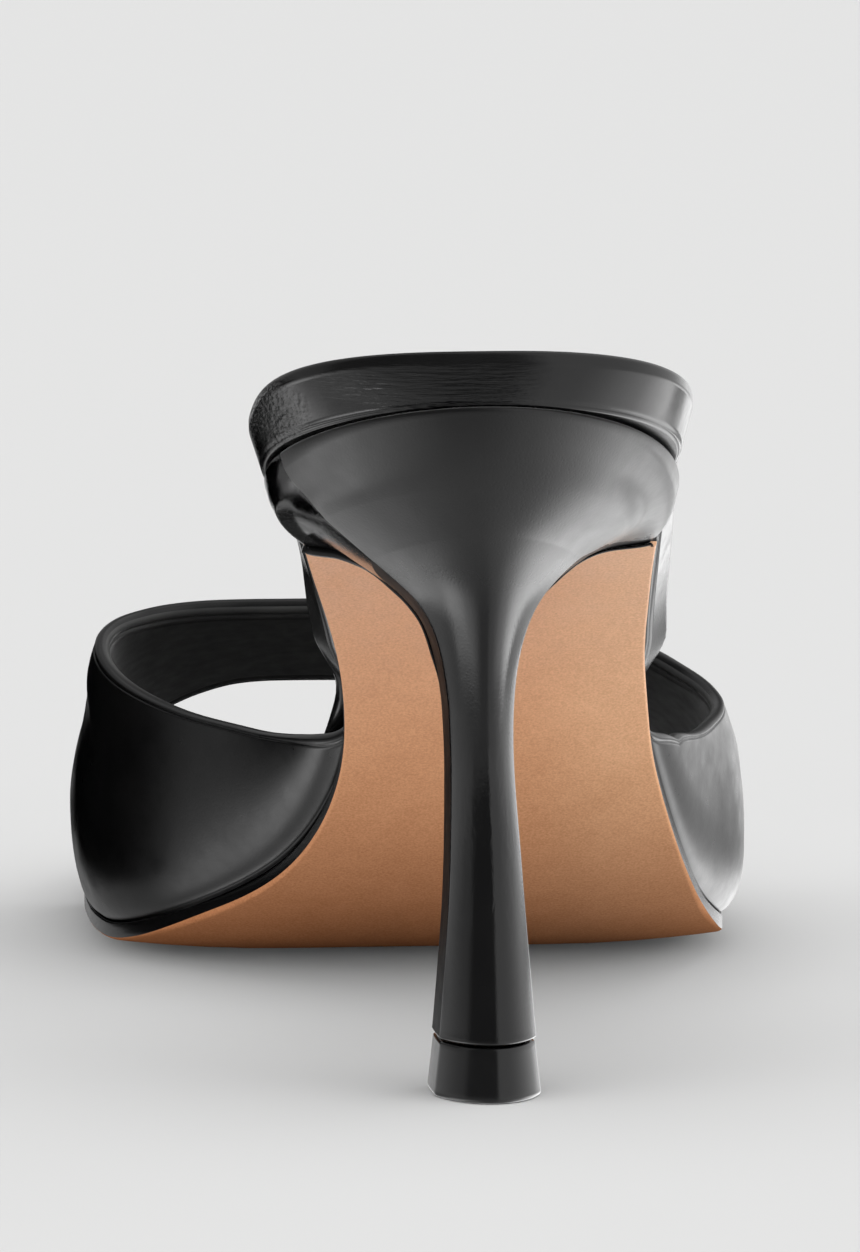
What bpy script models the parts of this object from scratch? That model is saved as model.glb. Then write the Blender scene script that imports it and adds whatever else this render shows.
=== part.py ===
"""Open-toe heeled mule, right shoe: outsole, footbed, upper, heel and top lift.

Everything below is in millimetres in the shoe's own axes and is turned into
metres when a mesh is made. x runs to the lateral (little toe) side, y runs
from the back of the seat to the toe, z runs up from the floor.
The outsole's underside is the reference: s is the distance along it from the
back of the seat, h the height square to it.
"""
import math

import bmesh
import bpy
import numpy as np

# ---------------------------------------------------------------- main sizes
OUTSOLE_T = 2.3          # leather outsole
GAP = 0.3                # between pieces
FOOTBED_T = 6.5          # wrapped rim at the seat
FOOTBED_T_FORE = 4.4     # under the ball
WALL = 1.9               # upper, leather and lining together
SEAT_HALF = 25.3         # half width of the seat where it meets the heel
SEAT_CENTRE = -1.1       # the seat sits a little to the medial side
SEAT_LONG = 28.0         # from the back of the seat to its widest place
RIM_FLARE = 1.4          # the rim leans out by this much at the seat
EDGE_LIFT = 1.4          # the sole's edges curve up from the floor at the ball
FLAT_SHARE = 0.45        # this share of the half width stays flat
BREAST_S = 53.0          # where the outsole meets the heel
SOLE_END = 243.0         # length of the outsole's underside
TOE_X = -6.0             # the toe's tip lies to the big toe side
LIFT_H = 6.65             # top lift
INSET = 0.7              # the upper stands this far in from the outsole's edge

# slope of the outsole's underside, degrees down towards the toe
PROFILE = dict(
    s=[0, 20, 40, 60, 80, 98, 114, 130, 144, 157, 168, 192, 206, 222, 245],
    slope=[18.5, 20, 24.5, 34.5, 43.5, 47, 45, 35.5, 22.5, 9.5, 0, 0, -3.5, -7, -10])
TREAD_S = 180.0          # this place lies on the floor

# outline of the outsole up to the widest places of the ball
OUTLINE = dict(
    s=[50, 60, 70, 80, 90, 100, 110, 120, 130, 140, 150, 160, 170, 180],
    medial=[-20.0, -18.0, -15.6, -13.3, -11.8, -11.3, -12.3, -15.1, -20.1,
            -27.3, -33.2, -36.5, -38.1, -38.6],
    lateral=[24.1, 24.4, 24.8, 25.3, 26.5, 28.0, 30.3, 33.0, 35.8, 38.6, 41.4,
             43.2, 43.9, 43.9])
BALL_S = 176.0           # beyond this the outline is a rounded toe
TOE = dict(side=['medial', 'lateral'], bulge=[2.7, 2.15], close=[1.9, 2.0])

# how far the footbed's bottom and top edges stand out from the outsole's edge;
# inside the upper they are held back by its wall
RIM = dict(
    s=[50, 66, 80, 92, 98, 104, 130, 180, 245],
    bottom=[0.7, 0.8, 0.8, 0.8, 0.8, 0.8, 0.6, -0.3, -0.3],
    medial_top=[1.8, 2.1, 3.1, 2.8, 2.9, 3.0, 2.0, 0.3, 0.3],
    lateral_top=[2.6, 3.2, 3.3, 3.3, 3.3, 3.0, 2.0, 0.3, 0.3])
# between these places along the sole the upper's wall stands beside the footbed
HELD = dict(side=['medial', 'lateral'], start=[94.5, 94.5], end=[210.5, 196.5])

# upright sections of the last: how far the widest place stands out from the
# feather, how high it lies above it, the ridge of the instep and the squareness
LAST = dict(
    y=[78, 88, 97, 106, 115, 124, 132, 140, 150, 160, 171, 182, 195],
    medial_out=[3.6, 4.6, 4.9, 5.0, 4.9, 5.4, 5.5, 4.5, 3.2, 2.7, 2.5, 2.6, 2.8],
    medial_up=[7, 9, 12, 15, 17, 18, 17.5, 16.5, 14, 12.5, 11.5, 10.5, 9.5],
    lateral_out=[1.3, 1.4, 1.5, 1.7, 2.3, 3.2, 3.5, 3.4, 3.1, 2.9, 2.8, 2.8, 2.8],
    lateral_up=[6, 7, 8, 9, 9.5, 9, 8.5, 8.5, 8.5, 8.5, 8.5, 8, 8],
    ridge_x=[-9, -10, -11, -12, -13, -14, -14, -14, -13.5, -13, -12.5, -12, -12],
    ridge_z=[76, 71, 66.5, 62, 57.6, 53.3, 49.5, 45.7, 41.4, 37.1, 32.4, 28.2, 24],
    medial_square=[4.2, 4.2, 4.2, 4.2, 4.2, 4.2, 3.9, 3.3, 2.75, 2.35, 2.1, 2.0, 2.0],
    lateral_square=[3.0, 3.0, 3.0, 3.0, 3.0, 3.0, 3.0, 2.9, 2.7, 2.5, 2.35, 2.2, 2.2])

# soft hollow in the medial side, over the widest place: how deep, and where
HOLLOW = dict(deep=1.5, z=29.5, tall=7.0, y=136.0, long=14.0)

# the two free edges of the upper: y of each against the place round the section
EDGES = dict(
    w=[0.0, 0.04, 0.077, 0.107, 0.128, 0.153, 0.19, 0.238, 0.276, 0.32, 0.36, 0.41,
       0.46, 0.52, 0.61, 0.66, 0.70, 0.735, 0.765, 0.794, 0.851, 0.904, 0.96, 1.0],
    throat=[84.5, 86.3, 88.8, 92.2, 96.0, 102.5, 112.4, 123.2, 129.4, 134.8, 138.0,
            139.7, 140.3, 140.4, 140.2, 139.4, 137.3, 130.6, 121.4, 112.2, 95.8, 89.5,
            86.0, 84.6],
    front=[179.0, 178.9, 178.8, 178.7, 178.6, 178.5, 178.3, 178.0, 177.7, 177.0, 176.0,
           173.6, 171.8, 171.3, 170.8, 170.4, 170.0, 169.6, 169.2, 168.9, 168.3, 167.9,
           167.6, 167.5])

# heel, level by level: height and y at the back and at the front, half width at
# the crease between the back and the flanks, half width of the front face,
# centre at the back and at the front, how far forward the crease lies, how far
# round the back turns before it (degrees) and how far the flanks bow out; on the
# lateral side the back wraps further forward before its crease
HEEL = dict(
    level=[0, 1, 2, 3, 4, 5, 6, 7, 8, 9, 10, 11, 12, 13, 14, 15, 16],
    back_z=[84.9, 82.6, 79.6, 76.4, 73.2, 69.8, 66.0, 61.8, 57.2, 52.4, 47.0, 41.2,
            35.4, 29.1, 22.4, 15.1, 6.95],
    front_z=[64.7, 62.9, 62.1, 61.1, 60.1, 58.6, 56.8, 54.4, 51.6, 48.4, 44.5, 39.8,
             34.8, 28.9, 22.3, 15.1, 6.95],
    back_y=[0.1, 0.5, 1.4, 2.7, 4.2, 5.9, 7.8, 9.6, 11.1, 12.3, 13.0, 13.3, 13.0,
            12.1, 10.9, 9.7, 8.6],
    front_y=[49.8, 48.9, 48.5, 47.2, 45.6, 43.2, 40.8, 38.2, 35.8, 33.8, 31.8, 30.0,
             28.4, 26.7, 25.1, 23.7, 22.7],
    half=[23.5, 22.4, 21.0, 19.5, 17.3, 13.7, 10.35, 7.35, 5.5, 4.5, 3.98, 3.85, 4.0,
          4.3, 4.7, 5.25, 5.9],
    front_half=[21.6, 21.2, 16.6, 13.7, 11.9, 9.9, 7.8, 5.95, 4.9, 4.2, 3.85, 3.75,
                3.9, 4.15, 4.55, 5.15, 5.85],
    centre=[-1.9, -1.85, -1.65, -1.4, -1.25, -1.35, -1.35, -1.05, -0.92, -0.88, -0.8,
            -0.7, -0.55, -0.4, -0.35, -0.35, -0.3],
    front_centre=[2.3, 2.2, 1.4, 1.1, 1.0, 0.75, 0.45, 0.14, -0.1, -0.23, -0.34,
                  -0.39, -0.39, -0.37, -0.37, -0.42, -0.5],
    crease=[0.40, 0.40, 0.38, 0.36, 0.39, 0.42, 0.40, 0.36, 0.32, 0.30, 0.30, 0.30,
            0.31, 0.33, 0.36, 0.40, 0.45],
    turn=[60, 56, 56, 55, 55, 55, 54, 52, 50, 50, 50, 50, 50, 50, 52, 54, 58],
    lateral_half=[22.3, 21.5, 18.3, 17.0, 16.0, 13.5, 10.35, 7.35, 5.5, 4.5, 3.98, 3.85,
                  4.0, 4.3, 4.7, 5.25, 5.9],
    lateral_crease=[0.985, 0.97, 0.92, 0.82, 0.62, 0.45, 0.40, 0.36, 0.32, 0.30, 0.30,
                    0.30, 0.31, 0.33, 0.36, 0.40, 0.45],
    lateral_turn=[117, 114, 120, 118, 99, 65, 55, 52, 50, 50, 50, 50, 50, 50, 52, 54, 58],
    bow=[3.0, 2.6, 2.6, 2.2, 1.5, 0.7, 0.3, 0.1, 0, 0, 0, 0, 0, 0, 0, 0.05, 0.1])
LOWEST = 16              # the heel's last level, where the top lift begins


# ------------------------------------------------------------------- helpers
def curve(xs, ys):
    """Shape-keeping cubic through the rows of a table."""
    xs = np.asarray(xs, float)
    ys = np.asarray(ys, float)
    h = np.diff(xs)
    d = np.diff(ys) / h
    m = np.zeros(len(xs))
    for i in range(1, len(xs) - 1):
        if d[i - 1] * d[i] > 0:
            a = 2 * h[i] + h[i - 1]
            b = h[i] + 2 * h[i - 1]
            m[i] = (a + b) / (a / d[i - 1] + b / d[i])
    m[0], m[-1] = d[0], d[-1]

    def f(x):
        x = np.asarray(x, float)
        k = np.clip(np.searchsorted(xs, x) - 1, 0, len(xs) - 2)
        t = np.clip((x - xs[k]) / h[k], -1.0, 2.0)
        return ((2 * t**3 - 3 * t**2 + 1) * ys[k] + (t**3 - 2 * t**2 + t) * h[k] * m[k]
                + (-2 * t**3 + 3 * t**2) * ys[k + 1] + (t**3 - t**2) * h[k] * m[k + 1])
    return f


def smooth(xs, ys):
    """Natural cubic spline through the rows of a table."""
    xs = np.asarray(xs, float)
    ys = np.asarray(ys, float)
    n = len(xs)
    h = np.diff(xs)
    a = np.zeros((n, n))
    r = np.zeros(n)
    a[0, 0] = a[-1, -1] = 1
    for i in range(1, n - 1):
        a[i, i - 1], a[i, i], a[i, i + 1] = h[i - 1], 2 * (h[i - 1] + h[i]), h[i]
        r[i] = 6 * ((ys[i + 1] - ys[i]) / h[i] - (ys[i] - ys[i - 1]) / h[i - 1])
    m = np.linalg.solve(a, r)

    def f(x):
        x = np.clip(np.asarray(x, float), xs[0], xs[-1])
        k = np.clip(np.searchsorted(xs, x) - 1, 0, n - 2)
        p, q, w = xs[k + 1] - x, x - xs[k], h[k]
        return ((m[k] * p**3 + m[k + 1] * q**3) / (6 * w)
                + (ys[k] / w - m[k] * w / 6) * p + (ys[k + 1] / w - m[k + 1] * w / 6) * q)
    return f


def ease(t):
    t = np.clip(t, 0, 1)
    return t * t * (3 - 2 * t)


def columns(table, key, make=smooth):
    return {c: make(table[key], v) for c, v in table.items() if c != key}


# ------------------------------------------------------------ sole reference
STEP = 0.05
_slope = curve(PROFILE['s'], PROFILE['slope'])
PS = np.arange(-12.0, 256.0, STEP)
PA = np.radians(_slope(np.clip(PS, 0, 245)))
_mid = (PA[1:] + PA[:-1]) / 2
PY = np.concatenate([[0], np.cumsum(np.cos(_mid) * STEP)])
PZ = np.concatenate([[0], -np.cumsum(np.sin(_mid) * STEP)])
PY = PY - np.interp(0, PS, PY)
PZ = PZ - np.interp(TREAD_S, PS, PZ)




def s_at(y):
    return np.interp(y, PY, PS)


_outline = columns(OUTLINE, 's')


def outline(s, side):
    """x of the outsole's edge; side is 'medial' or 'lateral'."""
    s = np.asarray(s, float)
    i = TOE['side'].index(side)
    wide = float(_outline[side](BALL_S)) - TOE_X
    t = np.clip((s - BALL_S) / (SOLE_END - BALL_S), 0, 1)
    toe = TOE_X + wide * (1 - t ** TOE['bulge'][i]) ** (1 / TOE['close'][i])
    return np.where(s > BALL_S, toe, _outline[side](np.minimum(s, BALL_S)))


def cup(s, x):
    """How far the sole has curved up at x; nothing over its flat middle."""
    m, l = outline(s, 'medial'), outline(s, 'lateral')
    off = np.abs((np.asarray(x, float) - (m + l) / 2) / ((l - m) / 2 + 1e-9))
    s = np.asarray(s, float)
    amount = EDGE_LIFT * ease((s - 110) / 45) * (1 - ease((s - 200) / 36))
    return amount * np.clip((off - FLAT_SHARE) / (1 - FLAT_SHARE), 0, 1.1) ** 2


def on_sole(s, x, h):
    """Point at s along the underside, x across, h above it."""
    y, z, a = np.interp(s, PS, PY), np.interp(s, PS, PZ), np.interp(s, PS, PA)
    h = h + cup(s, x)
    return np.stack(np.broadcast_arrays(x, y + h * np.sin(a), z + h * np.cos(a)), -1)


_rim = columns(RIM, 's', curve)


def footbed_t(s):
    return np.interp(s, [60, 150], [FOOTBED_T, FOOTBED_T_FORE])


def rim_edge(side, top, n):
    """Stations round one side of the footbed, back of the seat to the toe's tip.

    Gives s and x of its bottom or top edge: a rounded seat, the sides beside
    the outsole's edge, a rounded toe.
    """
    sign = -1 if side == 'medial' else 1
    n_seat, n_toe = int(n * 0.26), int(n * 0.3)
    turn = np.linspace(0, math.pi / 2, n_seat, endpoint=False)
    grow = RIM_FLARE if top else 0.0
    power = (3.0 if side == 'medial' else 2.4) if top else 2.0
    c = np.cos(turn)
    s1 = SEAT_LONG - (SEAT_LONG + grow) * c
    x1 = SEAT_CENTRE + sign * (SEAT_HALF + grow) * (1 - c ** power) ** (1 / power)
    s2 = np.linspace(SEAT_LONG, BALL_S, n - n_seat - n_toe, endpoint=False)
    column = _rim[side + '_top' if top else 'bottom']
    seat = SEAT_CENTRE + sign * (SEAT_HALF + grow)
    fore = outline(np.maximum(s2, 50), side) + sign * column(np.clip(s2, 50, 245))
    t = ease((s2 - SEAT_LONG) / (58.0 - SEAT_LONG))
    x2 = seat * (1 - t) + fore * t
    extra = float(column(BALL_S))
    t = np.sin(np.linspace(0, math.pi / 2, n_toe))
    s3 = BALL_S + (SOLE_END + extra - BALL_S) * t
    x3 = (outline(BALL_S + (SOLE_END - BALL_S) * t, side) + sign * extra * np.sqrt(1 - t ** 2))
    return np.concatenate([s1, s2, s3]), np.concatenate([x1, x2, x3])


# ------------------------------------------------------------------ the last
_last = columns(LAST, 'y')


def last(y, w):
    """Point of the last at y; w runs 0..1 from the medial feather over the top.

    Two sides, each a quarter curve out from the feather to the widest place
    and a squarer quarter from there up to the ridge.
    """
    y, w = np.broadcast_arrays(np.asarray(y, float), np.asarray(w, float))
    out = np.empty(y.shape + (3,))
    s = s_at(y)
    floor = np.interp(s, PS, PZ) + (OUTSOLE_T + GAP) / np.cos(np.interp(s, PS, PA))
    rx, rz = _last['ridge_x'](y), _last['ridge_z'](y)
    for side, sign, half in (('medial', -1, w <= 0.5), ('lateral', 1, w > 0.5)):
        v = np.where(half, w, 1 - w) if side == 'medial' else np.where(half, 1 - w, w)
        v = np.clip(v, 0, 0.5)
        foot = outline(s, side) - sign * INSET
        base = floor + cup(s, foot)
        wide = foot + sign * _last[side + '_out'](y)
        up = _last[side + '_up'](y)
        n = _last[side + '_square'](y)
        low = np.clip(v / LOW_W, 0, 1) * math.pi / 2
        x1 = foot + (wide - foot) * np.sin(low)
        z1 = base + up * (1 - np.cos(low))
        a = np.clip((v - LOW_W) / (0.5 - LOW_W), 0, 1) * math.pi / 2
        c, q = np.cos(a), np.sin(a)
        k = (np.abs(c) ** n + np.abs(q) ** n) ** (-1 / n)
        x2 = rx + (wide - rx) * c * k
        z2 = base + up + (rz - base - up) * q * k
        x = np.where(v < LOW_W, x1, x2)
        z = np.where(v < LOW_W, z1, z2)
        if side == 'medial':
            x = x + HOLLOW['deep'] * np.exp(-((z - HOLLOW['z']) / HOLLOW['tall']) ** 2
                                            - ((y - HOLLOW['y']) / HOLLOW['long']) ** 2)
        out[..., 0] = np.where(half, x, out[..., 0])
        out[..., 2] = np.where(half, z, out[..., 2])
    out[..., 1] = y
    return out


def room(y, z, side, station):
    """x of the upper's inner wall at y and height z, below the widest place."""
    sign = -1 if side == 'medial' else 1
    s = s_at(y)
    tilt = math.cos(float(np.interp(s, PS, PA)))
    foot = float(outline(s, side)) - sign * INSET
    base = float(np.interp(s, PS, PZ) + (OUTSOLE_T + GAP) / tilt + cup(s, foot))
    out, up = float(_last[side + '_out'](y)), float(_last[side + '_up'](y))
    low = np.linspace(0, math.pi / 2, 60)
    dx, dz = out * np.cos(low), up * np.sin(low)
    size = np.hypot(dx, dz)
    thick = WALL + GAP + CLEAR
    flare = math.hypot(1, float(outline(s_at(y + 1), side) - outline(s_at(y - 1), side)) / 2)
    xi = out * np.sin(low) - thick * flare * dz / size
    zi = base + up * (1 - np.cos(low)) + thick * dx / size / tilt
    keep = np.maximum.accumulate(zi) <= zi + 1e-9
    x = np.interp(z - CLEAR, zi[keep], xi[keep])
    lip = ease((z - base - thick / tilt - CLEAR) / 1.5)
    edge = float(outline(station, side)) - sign * (INSET + GAP)
    return edge * (1 - lip) + (foot + sign * x) * lip - sign * CLEAR


LOW_W = 0.14             # share of w below the widest place
CLEAR = 0.6              # allowance for the facets of both pieces
_edges = columns(EDGES, 'w', curve)


def upper_grid(nu, nw):
    """Outer surface of the upper as a grid, rows from throat to toe opening."""
    w = np.linspace(0, 1, nw)
    u = np.linspace(0, 1, nu)[:, None]
    y = _edges['throat'](w) * (1 - u) + _edges['front'](w) * u
    return last(y, np.broadcast_to(w, y.shape))


def grid_normals(g):
    du = np.gradient(g, axis=0)
    dw = np.gradient(g, axis=1)
    n = np.cross(du, dw)
    n[:, [0, -1], 0] = 0     # the feather edges lie square on the sole
    return n / np.linalg.norm(n, axis=-1, keepdims=True)


# ------------------------------------------------------------- mesh building
def add(name, verts, faces, colour, rough):
    me = bpy.data.meshes.new(name)
    me.from_pydata([tuple(v) for v in np.asarray(verts) * 0.001], [], faces)
    me.validate()
    bm = bmesh.new()
    bm.from_mesh(me)
    bmesh.ops.remove_doubles(bm, verts=bm.verts, dist=2e-6)
    bmesh.ops.triangulate(bm, faces=[f for f in bm.faces if len(f.verts) > 3])
    bmesh.ops.recalc_face_normals(bm, faces=bm.faces)
    bm.to_mesh(me)
    bm.free()
    obj = bpy.data.objects.new(name, me)
    bpy.context.scene.collection.objects.link(obj)
    mat = bpy.data.materials.new(name)
    mat.use_nodes = True
    b = mat.node_tree.nodes['Principled BSDF']
    b.inputs['Base Color'].default_value = (*colour, 1)
    b.inputs['Roughness'].default_value = rough
    me.materials.append(mat)
    return obj


def loft(loops):
    """Closed body through closed loops of equal length, both ends filled."""
    loops = [np.asarray(l) for l in loops]
    n = len(loops[0])
    verts = np.concatenate(loops)
    faces = []
    for i in range(len(loops) - 1):
        for j in range(n):
            k = (j + 1) % n
            faces.append((i * n + j, i * n + k, (i + 1) * n + k, (i + 1) * n + j))
    faces.append(tuple(range(n))[::-1])
    faces.append(tuple((len(loops) - 1) * n + j for j in range(n)))
    return verts, faces


def shell(outer, inner):
    """Closed body between two grids."""
    nu, nw = outer.shape[:2]
    verts = np.concatenate([outer.reshape(-1, 3), inner.reshape(-1, 3)])
    off = nu * nw
    faces = []
    for i in range(nu - 1):
        for j in range(nw - 1):
            a, b, c, d = i * nw + j, i * nw + j + 1, (i + 1) * nw + j + 1, (i + 1) * nw + j
            faces.append((a, b, c, d))
            faces.append((off + d, off + c, off + b, off + a))
    for j in range(nw - 1):
        for i, f in ((0, 1), (nu - 1, -1)):
            a, b = i * nw + j, i * nw + j + 1
            faces.append((a, off + a, off + b, b)[::f])
    for i in range(nu - 1):
        for j, f in ((0, -1), (nw - 1, 1)):
            a, b = i * nw + j, (i + 1) * nw + j
            faces.append((a, off + a, off + b, b)[::f])
    return verts, faces


def to_toe(first, rows):
    """Stations along the sole, closing up towards the rounded toe."""
    a = np.linspace(first, BALL_S, int(rows * 0.62), endpoint=False)
    t = np.sin(np.linspace(0, math.pi / 2 * 0.985, rows - len(a)))
    return np.concatenate([a, BALL_S + (SOLE_END - BALL_S) * t])


# -------------------------------------------------------------------- pieces
def outsole(rows=44, across=9):
    loops = []
    for s in to_toe(BREAST_S + GAP, rows):
        m, l = float(outline(s, 'medial')), float(outline(s, 'lateral'))
        t = np.linspace(0, 1, across)
        low = [(m + 0.3 + (l - m - 0.6) * v, 0.0) for v in t]
        top = [(l + (m - l) * v, OUTSOLE_T) for v in t]
        loops.append([on_sole(s, x, h) for x, h in low + [(l, 0.35)] + top + [(m, 0.35)]])
    return loft(loops)


def footbed_rings(n, heights, turns, across):
    """Closed rings from the middle of the underside, round the rim, to the middle of the top."""
    base = OUTSOLE_T + GAP
    r = 1.6
    edge = {(side, top): rim_edge(side, top, n)
            for side in ('medial', 'lateral') for top in (False, True)}

    def side_ring(side, k, drop, inset):
        (sb, xb), (st, xt) = edge[side, False], edge[side, True]
        sign = -1 if side == 'medial' else 1
        i = HELD['side'].index(side)
        s = sb + (st - sb) * k
        x = xb + (xt - xb) * k
        t = footbed_t(s)
        h = base + (t - r) * k + drop
        # hold the edge clear of the upper's wall
        for j in range(len(s)):
            hold = float(ease((s[j] - (HELD['start'][i] - 5 + 4 * k)) / 4.5)
                         * (1 - ease((s[j] - HELD['end'][i]) / 5)))
            if hold > 0:
                p = on_sole(s[j], x[j], h[j])
                lim = float(room(p[1], p[2], side, s[j]))
                if sign * x[j] > sign * lim:
                    x[j] += (lim - x[j]) * hold
        return s, x, h, inset

    def ring(k, drop, inset, mid):
        pts = []
        for side in ('medial', 'lateral'):
            s, x, h, _ = side_ring(side, k, drop, inset)
            (sb, xb), (so, xo) = edge[side, False], edge['lateral' if side == 'medial' else 'medial', False]
            sp = np.clip(s, 22, 222)
            xm = np.interp(sp, [22, 50, 90, 120, 150, 176, 205, 222],
                           [SEAT_CENTRE, 1.6, 7.0, 8.5, 4.2, 2.8, 0.5, -2.5])
            d = np.hypot(s - sp, x - xm) + 1e-6
            f = np.clip(inset / d, 0, 1)
            f = f + (1 - f) * mid
            s2, x2 = s + (sp - s) * f, x + (xm - x) * f
            h2 = h + (0.45 * (1 - (1 - mid) ** 2) if k > 0.5 else 0)
            pts.append((s2, x2, h2))
        m, l = pts
        s = np.concatenate([m[0], l[0][-2:0:-1]])
        x = np.concatenate([m[1], l[1][-2:0:-1]])
        h = np.concatenate([m[2], l[2][-2:0:-1]])
        # the two ends are shared by both sides
        return on_sole(s, x, h)

    rings = [ring(0.0, 0.0, 0.0, v) for v in across[::-1]]
    rings += [ring(k, 0.0, 0.0, 0.0) for k in heights]
    rings += [ring(1.0, r * math.sin(a), r * (1 - math.cos(a)), 0.0) for a in turns]
    rings += [ring(1.0, r, r, v) for v in across[1:]]
    return rings


def wrap(rings):
    """Closed body from rings; the first and last are folded flat along the middle."""
    n = len(rings[0])
    verts = np.concatenate(rings)
    faces = []
    for i in range(len(rings) - 1):
        for j in range(n):
            k = (j + 1) % n
            faces.append((i * n + j, i * n + k, (i + 1) * n + k, (i + 1) * n + j))
    return verts, faces


def footbed():
    return wrap(footbed_rings(44, (0.22, 0.45, 0.7, 1.0), (0.5, 1.0, 1.5), (0.0, 0.3, 0.65, 1.0)))


def upper(nu=19, nw=53):
    outer = upper_grid(nu, nw)
    n = grid_normals(outer)
    centre = np.array([0, outer[..., 1].mean(), 10])
    if ((outer - centre) * n).sum() < 0:
        n = -n
    return shell(outer, outer - WALL * n)


_heel = columns(HEEL, 'level')
_heel['front_half'] = curve(HEEL['level'], HEEL['front_half'])
_heel['half'] = curve(HEEL['level'], HEEL['half'])


def heel_loop(level, around, front):
    """Rounded back, a crease either side, flanks and a flat front."""
    c = {k: float(f(level)) for k, f in _heel.items()}
    depth = c['front_y'] - c['back_y']
    sides = []
    for tag, k in (('', 1.0), ('lateral_', 0.0)):
        half, turn = c[tag + 'half'], math.radians(c[tag + 'turn'])
        crease_y = c['back_y'] + depth * c[tag + 'crease']
        one = []
        for a in np.linspace(0, turn, around // 2 + 1):
            k_y = (math.cos(a) - math.cos(turn)) / (1 - math.cos(turn))
            one.append((half * math.sin(a) / math.sin(turn), crease_y - (crease_y - c['back_y']) * k_y))
        one += [(half + (c['front_half'] - half) * t + k * c['bow'] * 4 * t * (1 - t),
                 crease_y + (c['front_y'] - crease_y) * t) for t in np.linspace(0, 1, 7)[1:]]
        sides.append(one)
    medial, lateral = sides
    face = [(c['front_half'] * v, c['front_y']) for v in np.linspace(1, -1, front)[1:-1]]
    out = []
    for x, y in lateral + face + [(-x, y) for x, y in medial[:0:-1]]:
        t = (y - c['back_y']) / depth
        z = c['back_z'] + (c['front_z'] - c['back_z']) * t
        out.append((c['centre'] + (c['front_centre'] - c['centre']) * t * t + x, y, z))
    return np.array(out), c


def heel(levels=37, around=25, front=5):
    loops = [heel_loop(v, around, front)[0] for v in np.linspace(0, LOWEST, levels)]
    # the first loop lies just under the footbed
    for p in loops[0]:
        s = float(s_at(p[1]))
        for _ in range(4):
            s = float(s_at(p[1] - OUTSOLE_T * math.sin(float(np.interp(s, PS, PA)))))
        p[2] = float(on_sole(s, 0, OUTSOLE_T)[2])
    return loft(loops)


def top_lift():
    loops = []
    for z, grow in ((LIFT_H, -0.3), (LIFT_H - 0.4, -0.1), (0.5, 0.55), (0.0, 0.25)):
        loop, c = heel_loop(LOWEST, 25, 5)
        mid = loop.mean(axis=0)
        d = loop[:, :2] - mid[:2]
        r = np.linalg.norm(d, axis=1, keepdims=True)
        loop[:, :2] = mid[:2] + d * (1 + grow / r)
        loop[:, 2] = z
        loops.append(loop)
    return loft(loops)


def build():
    for o in list(bpy.data.objects):
        bpy.data.objects.remove(o, do_unlink=True)
    black = (0.012, 0.012, 0.013)
    made = [
        add('outsole', *outsole(), (0.56, 0.31, 0.17), 0.6),
        add('footbed', *footbed(), black, 0.38),
        add('upper', *upper(), black, 0.38),
        add('heel', *heel(), black, 0.35),
        add('top_lift', *top_lift(), (0.008, 0.008, 0.009), 0.25),
    ]
    # the origin is the middle of the bottom of the whole shoe's box
    pts = np.array([v.co[:] for o in made for v in o.data.vertices])
    lo, hi = pts.min(axis=0), pts.max(axis=0)
    shift = np.array([(lo[0] + hi[0]) / 2, (lo[1] + hi[1]) / 2, lo[2]])
    for o in made:
        for v in o.data.vertices:
            v.co = [v.co[i] - shift[i] for i in range(3)]
    print('SHIFT_MM', (shift * 1000).round(4).tolist(), 'SIZE_MM', ((hi - lo) * 1000).round(2).tolist())


build()
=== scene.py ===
"""Looks of the open-toe heeled mule (right shoe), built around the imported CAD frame.

Millimetres in the shoe's own axes, as in the CAD: x to the lateral side, y from
the back of the seat to the toe, z up from the floor; s runs along the outsole's
underside, h is square to it, w runs round the upper from the medial feather.
Every mesh is shifted by SHIFT into the row frame and turned into metres.
"""

import math

import bmesh
import bpy
import numpy as np
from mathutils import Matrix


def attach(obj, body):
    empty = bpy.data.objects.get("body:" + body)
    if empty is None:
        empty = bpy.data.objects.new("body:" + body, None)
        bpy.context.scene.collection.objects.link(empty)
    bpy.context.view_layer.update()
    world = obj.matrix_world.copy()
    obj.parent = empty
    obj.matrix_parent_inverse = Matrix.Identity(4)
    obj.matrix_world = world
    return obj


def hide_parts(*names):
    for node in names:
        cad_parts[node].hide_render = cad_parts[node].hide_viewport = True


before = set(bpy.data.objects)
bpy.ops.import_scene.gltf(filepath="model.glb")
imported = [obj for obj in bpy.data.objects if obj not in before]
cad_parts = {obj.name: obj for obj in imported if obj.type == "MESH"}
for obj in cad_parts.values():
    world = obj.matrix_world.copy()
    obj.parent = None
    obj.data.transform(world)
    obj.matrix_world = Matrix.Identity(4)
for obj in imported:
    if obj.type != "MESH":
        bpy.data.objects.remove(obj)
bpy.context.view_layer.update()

# ---------------------------------------------------------------- main sizes
OUTSOLE_T = 2.3          # leather outsole
GAP = 0.3                # between pieces
FOOTBED_T = 6.5          # wrapped rim at the seat
FOOTBED_T_FORE = 4.4     # under the ball
WALL = 1.9               # upper, leather and lining together
SEAT_HALF = 25.3         # half width of the seat where it meets the heel
SEAT_CENTRE = -1.1       # the seat sits a little to the medial side
SEAT_LONG = 28.0         # from the back of the seat to its widest place
RIM_FLARE = 1.4          # the rim leans out by this much at the seat
EDGE_LIFT = 1.4          # the sole's edges curve up from the floor at the ball
FLAT_SHARE = 0.45        # this share of the half width stays flat
BREAST_S = 53.0          # where the outsole meets the heel
SOLE_END = 243.0         # length of the outsole's underside
TOE_X = -6.0             # the toe's tip lies to the big toe side
LIFT_H = 6.65             # top lift
INSET = 0.7              # the upper stands this far in from the outsole's edge

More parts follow.
